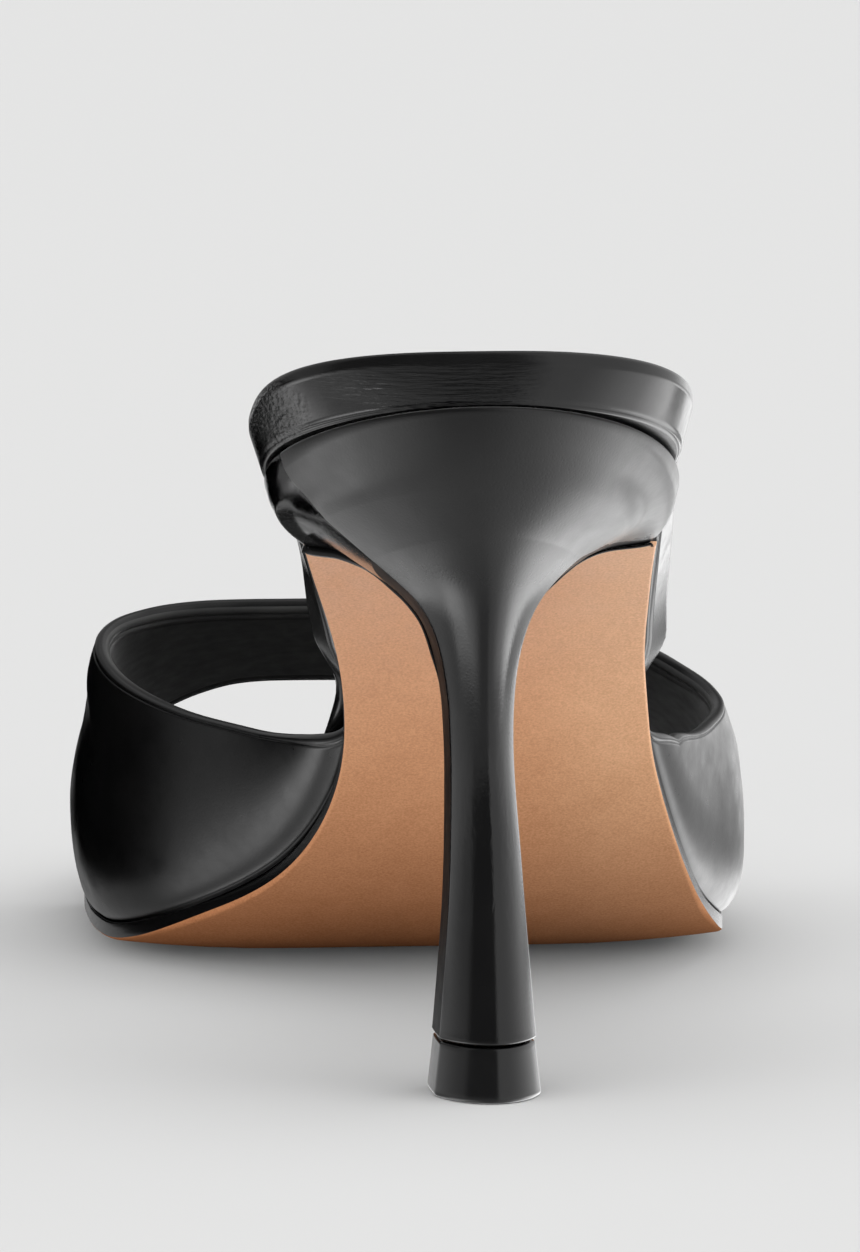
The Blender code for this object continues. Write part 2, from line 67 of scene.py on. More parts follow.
# slope of the outsole's underside, degrees down towards the toe
PROFILE = dict(
    s=[0, 20, 40, 60, 80, 98, 114, 130, 144, 157, 168, 192, 206, 222, 245],
    slope=[18.5, 20, 24.5, 34.5, 43.5, 47, 45, 35.5, 22.5, 9.5, 0, 0, -3.5, -7, -10])
TREAD_S = 180.0          # this place lies on the floor

# outline of the outsole up to the widest places of the ball
OUTLINE = dict(
    s=[50, 60, 70, 80, 90, 100, 110, 120, 130, 140, 150, 160, 170, 180],
    medial=[-20.0, -18.0, -15.6, -13.3, -11.8, -11.3, -12.3, -15.1, -20.1,
            -27.3, -33.2, -36.5, -38.1, -38.6],
    lateral=[24.1, 24.4, 24.8, 25.3, 26.5, 28.0, 30.3, 33.0, 35.8, 38.6, 41.4,
             43.2, 43.9, 43.9])
BALL_S = 176.0           # beyond this the outline is a rounded toe
TOE = dict(side=['medial', 'lateral'], bulge=[2.7, 2.15], close=[1.9, 2.0])

# how far the footbed's bottom and top edges stand out from the outsole's edge;
# inside the upper they are held back by its wall
RIM = dict(
    s=[50, 66, 80, 92, 98, 104, 130, 180, 245],
    bottom=[0.7, 0.8, 0.8, 0.8, 0.8, 0.8, 0.6, -0.3, -0.3],
    medial_top=[1.8, 2.1, 3.1, 2.8, 2.9, 3.0, 2.0, 0.3, 0.3],
    lateral_top=[2.6, 3.2, 3.3, 3.3, 3.3, 3.0, 2.0, 0.3, 0.3])
# between these places along the sole the upper's wall stands beside the footbed
HELD = dict(side=['medial', 'lateral'], start=[94.5, 94.5], end=[210.5, 196.5])

# upright sections of the last: how far the widest place stands out from the
# feather, how high it lies above it, the ridge of the instep and the squareness
LAST = dict(
    y=[78, 88, 97, 106, 115, 124, 132, 140, 150, 160, 171, 182, 195],
    medial_out=[3.6, 4.6, 4.9, 5.0, 4.9, 5.4, 5.5, 4.5, 3.2, 2.7, 2.5, 2.6, 2.8],
    medial_up=[7, 9, 12, 15, 17, 18, 17.5, 16.5, 14, 12.5, 11.5, 10.5, 9.5],
    lateral_out=[1.3, 1.4, 1.5, 1.7, 2.3, 3.2, 3.5, 3.4, 3.1, 2.9, 2.8, 2.8, 2.8],
    lateral_up=[6, 7, 8, 9, 9.5, 9, 8.5, 8.5, 8.5, 8.5, 8.5, 8, 8],
    ridge_x=[-9, -10, -11, -12, -13, -14, -14, -14, -13.5, -13, -12.5, -12, -12],
    ridge_z=[76, 71, 66.5, 62, 57.6, 53.3, 49.5, 45.7, 41.4, 37.1, 32.4, 28.2, 24],
    medial_square=[4.2, 4.2, 4.2, 4.2, 4.2, 4.2, 3.9, 3.3, 2.75, 2.35, 2.1, 2.0, 2.0],
    lateral_square=[3.0, 3.0, 3.0, 3.0, 3.0, 3.0, 3.0, 2.9, 2.7, 2.5, 2.35, 2.2, 2.2])

# soft hollow in the medial side, over the widest place: how deep, and where
HOLLOW = dict(deep=1.5, z=29.5, tall=7.0, y=136.0, long=14.0)

# the two free edges of the upper: y of each against the place round the section
EDGES = dict(
    w=[0.0, 0.04, 0.077, 0.107, 0.128, 0.153, 0.19, 0.238, 0.276, 0.32, 0.36, 0.41,
       0.46, 0.52, 0.61, 0.66, 0.70, 0.735, 0.765, 0.794, 0.851, 0.904, 0.96, 1.0],
    throat=[84.5, 86.3, 88.8, 92.2, 96.0, 102.5, 112.4, 123.2, 129.4, 134.8, 138.0,
            139.7, 140.3, 140.4, 140.2, 139.4, 137.3, 130.6, 121.4, 112.2, 95.8, 89.5,
            86.0, 84.6],
    front=[179.0, 178.9, 178.8, 178.7, 178.6, 178.5, 178.3, 178.0, 177.7, 177.0, 176.0,
           173.6, 171.8, 171.3, 170.8, 170.4, 170.0, 169.6, 169.2, 168.9, 168.3, 167.9,
           167.6, 167.5])

# heel, level by level: height and y at the back and at the front, half width at
# the crease between the back and the flanks, half width of the front face,
# centre at the back and at the front, how far forward the crease lies, how far
# round the back turns before it (degrees) and how far the flanks bow out; on the
# lateral side the back wraps further forward before its crease
HEEL = dict(
    level=[0, 1, 2, 3, 4, 5, 6, 7, 8, 9, 10, 11, 12, 13, 14, 15, 16],
    back_z=[84.9, 82.6, 79.6, 76.4, 73.2, 69.8, 66.0, 61.8, 57.2, 52.4, 47.0, 41.2,
            35.4, 29.1, 22.4, 15.1, 6.95],
    front_z=[64.7, 62.9, 62.1, 61.1, 60.1, 58.6, 56.8, 54.4, 51.6, 48.4, 44.5, 39.8,
             34.8, 28.9, 22.3, 15.1, 6.95],
    back_y=[0.1, 0.5, 1.4, 2.7, 4.2, 5.9, 7.8, 9.6, 11.1, 12.3, 13.0, 13.3, 13.0,
            12.1, 10.9, 9.7, 8.6],
    front_y=[49.8, 48.9, 48.5, 47.2, 45.6, 43.2, 40.8, 38.2, 35.8, 33.8, 31.8, 30.0,
             28.4, 26.7, 25.1, 23.7, 22.7],
    half=[23.5, 22.4, 21.0, 19.5, 17.3, 13.7, 10.35, 7.35, 5.5, 4.5, 3.98, 3.85, 4.0,
          4.3, 4.7, 5.25, 5.9],
    front_half=[21.6, 21.2, 16.6, 13.7, 11.9, 9.9, 7.8, 5.95, 4.9, 4.2, 3.85, 3.75,
                3.9, 4.15, 4.55, 5.15, 5.85],
    centre=[-1.9, -1.85, -1.65, -1.4, -1.25, -1.35, -1.35, -1.05, -0.92, -0.88, -0.8,
            -0.7, -0.55, -0.4, -0.35, -0.35, -0.3],
    front_centre=[2.3, 2.2, 1.4, 1.1, 1.0, 0.75, 0.45, 0.14, -0.1, -0.23, -0.34,
                  -0.39, -0.39, -0.37, -0.37, -0.42, -0.5],
    crease=[0.40, 0.40, 0.38, 0.36, 0.39, 0.42, 0.40, 0.36, 0.32, 0.30, 0.30, 0.30,
            0.31, 0.33, 0.36, 0.40, 0.45],
    turn=[60, 56, 56, 55, 55, 55, 54, 52, 50, 50, 50, 50, 50, 50, 52, 54, 58],
    lateral_half=[22.3, 21.5, 18.3, 17.0, 16.0, 13.5, 10.35, 7.35, 5.5, 4.5, 3.98, 3.85,
                  4.0, 4.3, 4.7, 5.25, 5.9],
    lateral_crease=[0.985, 0.97, 0.92, 0.82, 0.62, 0.45, 0.40, 0.36, 0.32, 0.30, 0.30,
                    0.30, 0.31, 0.33, 0.36, 0.40, 0.45],
    lateral_turn=[117, 114, 120, 118, 99, 65, 55, 52, 50, 50, 50, 50, 50, 50, 52, 54, 58],
    bow=[3.0, 2.6, 2.6, 2.2, 1.5, 0.7, 0.3, 0.1, 0, 0, 0, 0, 0, 0, 0, 0.05, 0.1])
LOWEST = 16              # the heel's last level, where the top lift begins


# ------------------------------------------------------------------- helpers
def curve(xs, ys):
    """Shape-keeping cubic through the rows of a table."""
    xs = np.asarray(xs, float)
    ys = np.asarray(ys, float)
    h = np.diff(xs)
    d = np.diff(ys) / h
    m = np.zeros(len(xs))
    for i in range(1, len(xs) - 1):
        if d[i - 1] * d[i] > 0:
            a = 2 * h[i] + h[i - 1]
            b = h[i] + 2 * h[i - 1]
            m[i] = (a + b) / (a / d[i - 1] + b / d[i])
    m[0], m[-1] = d[0], d[-1]

    def f(x):
        x = np.asarray(x, float)
        k = np.clip(np.searchsorted(xs, x) - 1, 0, len(xs) - 2)
        t = np.clip((x - xs[k]) / h[k], -1.0, 2.0)
        return ((2 * t**3 - 3 * t**2 + 1) * ys[k] + (t**3 - 2 * t**2 + t) * h[k] * m[k]
                + (-2 * t**3 + 3 * t**2) * ys[k + 1] + (t**3 - t**2) * h[k] * m[k + 1])
    return f


def smooth(xs, ys):
    """Natural cubic spline through the rows of a table."""
    xs = np.asarray(xs, float)
    ys = np.asarray(ys, float)
    n = len(xs)
    h = np.diff(xs)
    a = np.zeros((n, n))
    r = np.zeros(n)
    a[0, 0] = a[-1, -1] = 1
    for i in range(1, n - 1):
        a[i, i - 1], a[i, i], a[i, i + 1] = h[i - 1], 2 * (h[i - 1] + h[i]), h[i]
        r[i] = 6 * ((ys[i + 1] - ys[i]) / h[i] - (ys[i] - ys[i - 1]) / h[i - 1])
    m = np.linalg.solve(a, r)

    def f(x):
        x = np.clip(np.asarray(x, float), xs[0], xs[-1])
        k = np.clip(np.searchsorted(xs, x) - 1, 0, n - 2)
        p, q, w = xs[k + 1] - x, x - xs[k], h[k]
        return ((m[k] * p**3 + m[k + 1] * q**3) / (6 * w)
                + (ys[k] / w - m[k] * w / 6) * p + (ys[k + 1] / w - m[k + 1] * w / 6) * q)
    return f


def ease(t):
    t = np.clip(t, 0, 1)
    return t * t * (3 - 2 * t)


def columns(table, key, make=smooth):
    return {c: make(table[key], v) for c, v in table.items() if c != key}


# ------------------------------------------------------------ sole reference
STEP = 0.05
_slope = curve(PROFILE['s'], PROFILE['slope'])
PS = np.arange(-12.0, 256.0, STEP)
PA = np.radians(_slope(np.clip(PS, 0, 245)))
_mid = (PA[1:] + PA[:-1]) / 2
PY = np.concatenate([[0], np.cumsum(np.cos(_mid) * STEP)])
PZ = np.concatenate([[0], -np.cumsum(np.sin(_mid) * STEP)])
PY = PY - np.interp(0, PS, PY)
PZ = PZ - np.interp(TREAD_S, PS, PZ)


def s_at(y):
    return np.interp(y, PY, PS)


_outline = columns(OUTLINE, 's')


def outline(s, side):
    """x of the outsole's edge; side is 'medial' or 'lateral'."""
    s = np.asarray(s, float)
    i = TOE['side'].index(side)
    wide = float(_outline[side](BALL_S)) - TOE_X
    t = np.clip((s - BALL_S) / (SOLE_END - BALL_S), 0, 1)
    toe = TOE_X + wide * (1 - t ** TOE['bulge'][i]) ** (1 / TOE['close'][i])
    return np.where(s > BALL_S, toe, _outline[side](np.minimum(s, BALL_S)))


def cup(s, x):
    """How far the sole has curved up at x; nothing over its flat middle."""
    m, l = outline(s, 'medial'), outline(s, 'lateral')
    off = np.abs((np.asarray(x, float) - (m + l) / 2) / ((l - m) / 2 + 1e-9))
    s = np.asarray(s, float)
    amount = EDGE_LIFT * ease((s - 110) / 45) * (1 - ease((s - 200) / 36))
    return amount * np.clip((off - FLAT_SHARE) / (1 - FLAT_SHARE), 0, 1.1) ** 2


def on_sole(s, x, h):
    """Point at s along the underside, x across, h above it."""
    y, z, a = np.interp(s, PS, PY), np.interp(s, PS, PZ), np.interp(s, PS, PA)
    h = h + cup(s, x)
    return np.stack(np.broadcast_arrays(x, y + h * np.sin(a), z + h * np.cos(a)), -1)


_rim = columns(RIM, 's', curve)


def footbed_t(s):
    return np.interp(s, [60, 150], [FOOTBED_T, FOOTBED_T_FORE])


def rim_edge(side, top, n):
    """Stations round one side of the footbed, back of the seat to the toe's tip.

    Gives s and x of its bottom or top edge: a rounded seat, the sides beside
    the outsole's edge, a rounded toe.
    """
    sign = -1 if side == 'medial' else 1
    n_seat, n_toe = int(n * 0.26), int(n * 0.3)
    turn = np.linspace(0, math.pi / 2, n_seat, endpoint=False)
    grow = RIM_FLARE if top else 0.0
    power = (3.0 if side == 'medial' else 2.4) if top else 2.0
    c = np.cos(turn)
    s1 = SEAT_LONG - (SEAT_LONG + grow) * c
    x1 = SEAT_CENTRE + sign * (SEAT_HALF + grow) * (1 - c ** power) ** (1 / power)
    s2 = np.linspace(SEAT_LONG, BALL_S, n - n_seat - n_toe, endpoint=False)
    column = _rim[side + '_top' if top else 'bottom']
    seat = SEAT_CENTRE + sign * (SEAT_HALF + grow)
    fore = outline(np.maximum(s2, 50), side) + sign * column(np.clip(s2, 50, 245))
    t = ease((s2 - SEAT_LONG) / (58.0 - SEAT_LONG))
    x2 = seat * (1 - t) + fore * t
    extra = float(column(BALL_S))
    t = np.sin(np.linspace(0, math.pi / 2, n_toe))
    s3 = BALL_S + (SOLE_END + extra - BALL_S) * t
    x3 = (outline(BALL_S + (SOLE_END - BALL_S) * t, side) + sign * extra * np.sqrt(1 - t ** 2))
    return np.concatenate([s1, s2, s3]), np.concatenate([x1, x2, x3])


# ------------------------------------------------------------------ the last
_last = columns(LAST, 'y')


def last(y, w):
    """Point of the last at y; w runs 0..1 from the medial feather over the top.

    Two sides, each a quarter curve out from the feather to the widest place
    and a squarer quarter from there up to the ridge.
    """
    y, w = np.broadcast_arrays(np.asarray(y, float), np.asarray(w, float))
    out = np.empty(y.shape + (3,))
    s = s_at(y)
    floor = np.interp(s, PS, PZ) + (OUTSOLE_T + GAP) / np.cos(np.interp(s, PS, PA))
    rx, rz = _last['ridge_x'](y), _last['ridge_z'](y)
    for side, sign, half in (('medial', -1, w <= 0.5), ('lateral', 1, w > 0.5)):
        v = np.where(half, w, 1 - w) if side == 'medial' else np.where(half, 1 - w, w)
        v = np.clip(v, 0, 0.5)
        foot = outline(s, side) - sign * INSET
        base = floor + cup(s, foot)
        wide = foot + sign * _last[side + '_out'](y)
        up = _last[side + '_up'](y)
        n = _last[side + '_square'](y)
        low = np.clip(v / LOW_W, 0, 1) * math.pi / 2
        x1 = foot + (wide - foot) * np.sin(low)
        z1 = base + up * (1 - np.cos(low))
        a = np.clip((v - LOW_W) / (0.5 - LOW_W), 0, 1) * math.pi / 2
        c, q = np.cos(a), np.sin(a)
        k = (np.abs(c) ** n + np.abs(q) ** n) ** (-1 / n)
        x2 = rx + (wide - rx) * c * k
        z2 = base + up + (rz - base - up) * q * k
        x = np.where(v < LOW_W, x1, x2)
        z = np.where(v < LOW_W, z1, z2)
        if side == 'medial':
            x = x + HOLLOW['deep'] * np.exp(-((z - HOLLOW['z']) / HOLLOW['tall']) ** 2
                                            - ((y - HOLLOW['y']) / HOLLOW['long']) ** 2)
        out[..., 0] = np.where(half, x, out[..., 0])
        out[..., 2] = np.where(half, z, out[..., 2])
    out[..., 1] = y
    return out


def room(y, z, side, station):
    """x of the upper's inner wall at y and height z, below the widest place."""
    sign = -1 if side == 'medial' else 1
    s = s_at(y)
    tilt = math.cos(float(np.interp(s, PS, PA)))
    foot = float(outline(s, side)) - sign * INSET
    base = float(np.interp(s, PS, PZ) + (OUTSOLE_T + GAP) / tilt + cup(s, foot))
    out, up = float(_last[side + '_out'](y)), float(_last[side + '_up'](y))
    low = np.linspace(0, math.pi / 2, 60)
    dx, dz = out * np.cos(low), up * np.sin(low)
    size = np.hypot(dx, dz)
    thick = WALL + GAP + CLEAR
    flare = math.hypot(1, float(outline(s_at(y + 1), side) - outline(s_at(y - 1), side)) / 2)
    xi = out * np.sin(low) - thick * flare * dz / size
    zi = base + up * (1 - np.cos(low)) + thick * dx / size / tilt
    keep = np.maximum.accumulate(zi) <= zi + 1e-9
    x = np.interp(z - CLEAR, zi[keep], xi[keep])
    lip = ease((z - base - thick / tilt - CLEAR) / 1.5)
    edge = float(outline(station, side)) - sign * (INSET + GAP)
    return edge * (1 - lip) + (foot + sign * x) * lip - sign * CLEAR


LOW_W = 0.14             # share of w below the widest place
CLEAR = 0.6              # allowance for the facets of both pieces
_edges = columns(EDGES, 'w', curve)


def upper_grid(nu, nw):
    """Outer surface of the upper as a grid, rows from throat to toe opening."""
    w = np.linspace(0, 1, nw)
    u = np.linspace(0, 1, nu)[:, None]
    y = _edges['throat'](w) * (1 - u) + _edges['front'](w) * u
    return last(y, np.broadcast_to(w, y.shape))


def grid_normals(g):
    du = np.gradient(g, axis=0)
    dw = np.gradient(g, axis=1)
    n = np.cross(du, dw)
    n[:, [0, -1], 0] = 0     # the feather edges lie square on the sole
    return n / np.linalg.norm(n, axis=-1, keepdims=True)


_heel = columns(HEEL, 'level')
_heel['front_half'] = curve(HEEL['level'], HEEL['front_half'])
_heel['half'] = curve(HEEL['level'], HEEL['half'])



SHIFT = np.array([2.6061, 108.2072, 0.0])


# ------------------------------------------------------------- mesh building
def piece(name, verts, faces, node=None, mats=(), index=None, attrs=None):
    """Mesh object from points in millimetres; rides on the shoe's one body."""
    me = bpy.data.meshes.new(name)
    me.from_pydata(((np.asarray(verts, float) - SHIFT) * 0.001).tolist(), [],
                   [tuple(map(int, f)) for f in faces])
    for key, val in (attrs or {}).items():
        me.attributes.new(key, 'FLOAT', 'POINT').data.foreach_set(
            'value', np.asarray(val, np.float32))
    for m in mats:
        me.materials.append(m)
    if index is not None:
        me.polygons.foreach_set('material_index', np.asarray(index, np.int32))
    me.polygons.foreach_set('use_smooth', np.ones(len(me.polygons), bool))
    me.validate()
    bm = bmesh.new()
    bm.from_mesh(me)
    bmesh.ops.remove_doubles(bm, verts=bm.verts, dist=1e-6)
    bmesh.ops.recalc_face_normals(bm, faces=bm.faces)
    bm.to_mesh(me)
    bm.free()
    obj = bpy.data.objects.new(name, me)
    bpy.context.scene.collection.objects.link(obj)
    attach(obj, 'root')
    if node:
        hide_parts(node)
    return obj


def tube_faces(rings, n, closed=True):
    """Quads between rings of n points each."""
    out = []
    for i in range(rings - 1):
        for j in range(n if closed else n - 1):
            k = (j + 1) % n
            out.append((i * n + j, i * n + k, (i + 1) * n + k, (i + 1) * n + j))
    return out


def arc(lo, hi, n):
    return np.radians(np.linspace(lo, hi, n))


# --------------------------------------------------------------------- upper
# soft creases of the band: from one point to another, each
# given by the distance in mm from the throat's edge and the place w round it
CREASES = dict(
    t0=[9, 14, 19, 26, 34, 46, 58, 9, 16, 24, 7, 12],
    w0=[0.300, 0.265, 0.235, 0.210, 0.175, 0.120, 0.080, 0.720, 0.745, 0.770, 0.40, 0.60],
    t1=[14, 20, 26, 34, 43, 56, 70, 15, 23, 32, 10, 9],
    w1=[0.235, 0.205, 0.180, 0.150, 0.120, 0.075, 0.035, 0.765, 0.800, 0.830, 0.46, 0.66],
    width=[1.6, 2.0, 2.3, 2.6, 2.4, 2.2, 2.0, 1.7, 2.1, 2.3, 1.8, 1.7],
    depth=[0.05, 0.08, 0.09, 0.09, 0.08, 0.08, 0.06, 0.06, 0.07, 0.07, 0.04, 0.04])
EDGE_R = WALL / 2        # rolled edges of the band
FOLD = dict(             # the topline's folds: place from the edge, height, half width
    outer_at=[1.75], outer_high=[-0.16], outer_wide=[0.26],
    inner_at=[1.55, 2.25, 2.95], inner_high=[-0.30, 0.26, -0.34], inner_wide=[0.17, 0.42, 0.20])


def fold(t, which):
    return sum(h * np.exp(-((t - a) / w) ** 2) for a, h, w in
               zip(FOLD[which + '_at'], FOLD[which + '_high'], FOLD[which + '_wide']))


def upper_mesh(mats, nw=321):
    rows = 181
    w = np.linspace(0, 1, nw)
    u = np.linspace(0, 1, rows)[:, None]
    y = _edges['throat'](w) * (1 - u) + _edges['front'](w) * u
    g = last(y, np.broadcast_to(w, y.shape))
    n = grid_normals(g)
    if ((g - np.array([0, g[..., 1].mean(), 10])) * n).sum() < 0:
        n = -n
    run = np.concatenate([np.zeros((1, nw)),
                          np.cumsum(np.linalg.norm(np.diff(g, axis=0), axis=-1), axis=0)])
    long = run[-1]
    near = np.array([0, .25, .45, .6, .7, .8, .9, 1.0, 1.15, 1.35, 1.55, 1.8, 2.1, 2.5, 3.2, 4.2, 5.5, 7.0])
    near = near + EDGE_R
    mid = 70
    t = np.empty((2 * len(near) + mid, nw))
    for j in range(nw):
        t[:, j] = np.concatenate([near, np.linspace(near[-1], long[j] - near[-1], mid + 2)[1:-1],
                                  (long[j] - near)[::-1]])
    k = len(t)

    def sample(field, t):
        return np.stack([[np.interp(t[:, j], run[:, j], field[:, j, c]) for j in range(nw)]
                         for c in range(3)], -1).transpose(1, 0, 2)

    pos, nor = sample(g, t), sample(n, t)
    nor /= np.linalg.norm(nor, axis=-1, keepdims=True)
    back = long - t
    rim = 0.10 * (1 - ease((t - 0.5) / 1.6)) + 0.06 * (1 - ease((back - 0.5) / 1.6))
    d_out = fold(t, 'outer') + 0.6 * fold(back, 'outer') + rim
    d_in = -WALL - fold(t, 'inner') - 0.5 * fold(back, 'inner')
    # creases, soft troughs with a ridge either side
    for t0, w0, t1, w1, wide, deep in zip(*[CREASES[c] for c in ('t0', 'w0', 't1', 'w1', 'width', 'depth')]):
        ja, jb = int(round(w0 * (nw - 1))), int(round(w1 * (nw - 1)))
        a = np.array([np.interp(t0, run[:, ja], g[:, ja, c]) for c in range(3)])
        b = np.array([np.interp(t1, run[:, jb], g[:, jb, c]) for c in range(3)])
        ab = b - a
        q = ((pos - a) @ ab) / (ab @ ab)
        off = np.linalg.norm(pos - (a + np.clip(q, 0, 1)[..., None] * ab), axis=-1) / wide
        d_out = d_out - deep * (np.exp(-off ** 2) - 0.55 * np.exp(-((off - 1.7) / 0.8) ** 2))
    turn = arc(90, -90, 11)[1:-1]

    def roll(i, sign):
        mid_d, r = (d_out[i] + d_in[i]) / 2, (d_out[i] - d_in[i]) / 2
        tan = pos[i] - pos[i + (1 if sign > 0 else -1)]
        tan = tan / np.linalg.norm(tan, axis=-1, keepdims=True)
        return [pos[i] + nor[i] * (mid_d + r * math.sin(a))[:, None]
                + tan * (EDGE_R * math.cos(a)) for a in turn]

    outer = list(pos + nor * d_out[..., None])
    inner = list((pos + nor * d_in[..., None])[::-1])
    loop = outer + roll(k - 1, -1) + inner + roll(0, 1)[::-1]
    verts = np.stack(loop, 1)                       # nw x ring x 3
    # the lower edges run on a little, into the seam on the outsole
    first, last_ = verts[0].copy(), verts[-1].copy()
    for e, side in ((first, 1), (last_, -1)):
        e[:, 0] += side * 0.25
        e[:, 2] -= 0.45
    verts = np.concatenate([first[None], verts, last_[None]])
    ring = verts.shape[1]
    faces = tube_faces(len(verts), ring)
    n_roll = len(turn)
    part = np.zeros(ring, int)
    part[k + n_roll // 2:2 * k + n_roll + n_roll // 2] = 1
    index = [int(part[f[0] % ring] and part[f[1] % ring]) for f in faces]
    for base in (0, (len(verts) - 1) * ring):
        flip = 1 if base else -1
        for i in range(k - 1):
            a, b = i, i + 1
            c, d = 2 * k + n_roll - 1 - (i + 1), 2 * k + n_roll - 1 - i
            faces.append(tuple(base + v for v in (a, b, c, d))[::flip])
            index.append(0)
        faces.append(tuple(base + v for v in range(k - 1, k + n_roll + 1))[::flip])
        faces.append(tuple(base + v for v in list(range(2 * k + n_roll - 1, ring)) + [0])[::flip])
        index += [0, 0]
    edge = np.concatenate([t[:, :], np.zeros((n_roll, nw)), t[::-1], np.zeros((n_roll, nw))]).T
    edge = np.concatenate([edge[:1], edge, edge[-1:]]).ravel()
    ww = np.repeat(np.concatenate([[0], w, [1]]), ring)
    return piece('upper_leather', verts.reshape(-1, 3), faces, 'upper', mats, index,
                 dict(edge_mm=edge, round_w=ww))


# ------------------------------------------------------------------- footbed


def footbed_ring_maker(n):
    """Gives a function for closed rings round the footbed, n stations a side.

    k runs 0 to 1 up the rim, drop lifts it further, inset draws it in towards
    the middle by so many mm and mid by that share of the rest.
    """
    base = OUTSOLE_T + GAP
    r = 1.6
    edge = {(side, top): rim_edge(side, top, n)
            for side in ('medial', 'lateral') for top in (False, True)}
    kept = {}

    def held(side, k, drop):
        if (side, k, drop) in kept:
            return kept[side, k, drop]
        (sb, xb), (st, xt) = edge[side, False], edge[side, True]
        sign = -1 if side == 'medial' else 1
        i = HELD['side'].index(side)
        s = sb + (st - sb) * k
        x = xb + (xt - xb) * k
        h = base + (footbed_t(s) - r) * k + drop
        for j in range(len(s)):
            hold = float(ease((s[j] - (HELD['start'][i] - 15 + 4 * k)) / 14.5)
                         * (1 - ease((s[j] - HELD['end'][i]) / 5)))
            if hold > 0:
                p = on_sole(s[j], x[j], h[j])
                lim = float(room(p[1], p[2], side, s[j]))
                if sign * x[j] > sign * lim:
                    x[j] += (lim - x[j]) * hold
        kept[side, k, drop] = s, x, h
        return s, x, h

    def ring(k, drop, inset, mid, lift=0.0):
        pts = []
        for side in ('medial', 'lateral'):
            s, x, h = held(side, k, drop)
            sp = np.clip(s, 22, 222)
            xm = np.interp(sp, [22, 50, 90, 120, 150, 176, 205, 222],
                           [SEAT_CENTRE, 1.6, 7.0, 8.5, 4.2, 2.8, 0.5, -2.5])
            d = np.hypot(s - sp, x - xm) + 1e-6
            f = np.clip(inset / d, 0, 1)
            f = f + (1 - f) * mid
            crown = 0.45 * (1 - (1 - mid) ** 2) if k > 0.5 else 0
            pts.append((s + (sp - s) * f, x + (xm - x) * f, h + crown + lift))
        m, l = pts
        return on_sole(*[np.concatenate([m[i], l[i][-2:0:-1]]) for i in range(3)])
    return ring


def rim_wrap(ring, mats):
    """The footbed: leather wrapped round a padded board, soft edges."""
    low = 0.5
    out = [ring(0.0, 0.0, low, v) for v in (1.0, 0.6, 0.3, 0.1, 0.0)]
    out += [ring(0.0, low * (1 - math.sin(a)), low * (1 - math.cos(a)), 0.0)
            for a in arc(78, 0, 6)]
    out += [ring(float(v), 0.0, 0.0, 0.0) for v in np.linspace(0.12, 1.0, 14)]
    out += [ring(1.0, v, 0.0, 0.0) for v in (0.3, 0.6, 0.9)]
    out += [ring(1.0, 0.9 + 0.7 * math.sin(a), 0.7 * (1 - math.cos(a)), 0.0) for a in arc(10, 90, 9)]
    out += [ring(1.0, 1.6, 0.7, v) for v in (0.03, 0.08, 0.15, 0.25, 0.4, 0.6, 0.8, 1.0)]
    n = len(out[0])
    return piece('footbed_wrap', np.concatenate(out), tube_faces(len(out), n),
                 'footbed', mats)


SOCK_IN = 2.6            # the sock's edge lies this far in from the rim
SOCK_T = 0.45


def sock(ring, mats):
    out = [ring(1.0, 1.6, SOCK_IN, v, -0.3) for v in (1.0, 0.5, 0.15, 0.0)]
    out += [ring(1.0, 1.6, SOCK_IN, 0.0, v) for v in (0.0, SOCK_T * 0.6)]
    out += [ring(1.0, 1.6, SOCK_IN + v, 0.0, SOCK_T * w) for v, w in ((0.1, 0.9), (0.3, 1.0))]
    out += [ring(1.0, 1.6, SOCK_IN + 0.3, v, SOCK_T)
            for v in (0.04, 0.1, 0.18, 0.28, 0.4, 0.55, 0.7, 0.85, 0.95, 1.0)]
    n = len(out[0])
    return piece('sock', np.concatenate(out), tube_faces(len(out), n), None, mats)


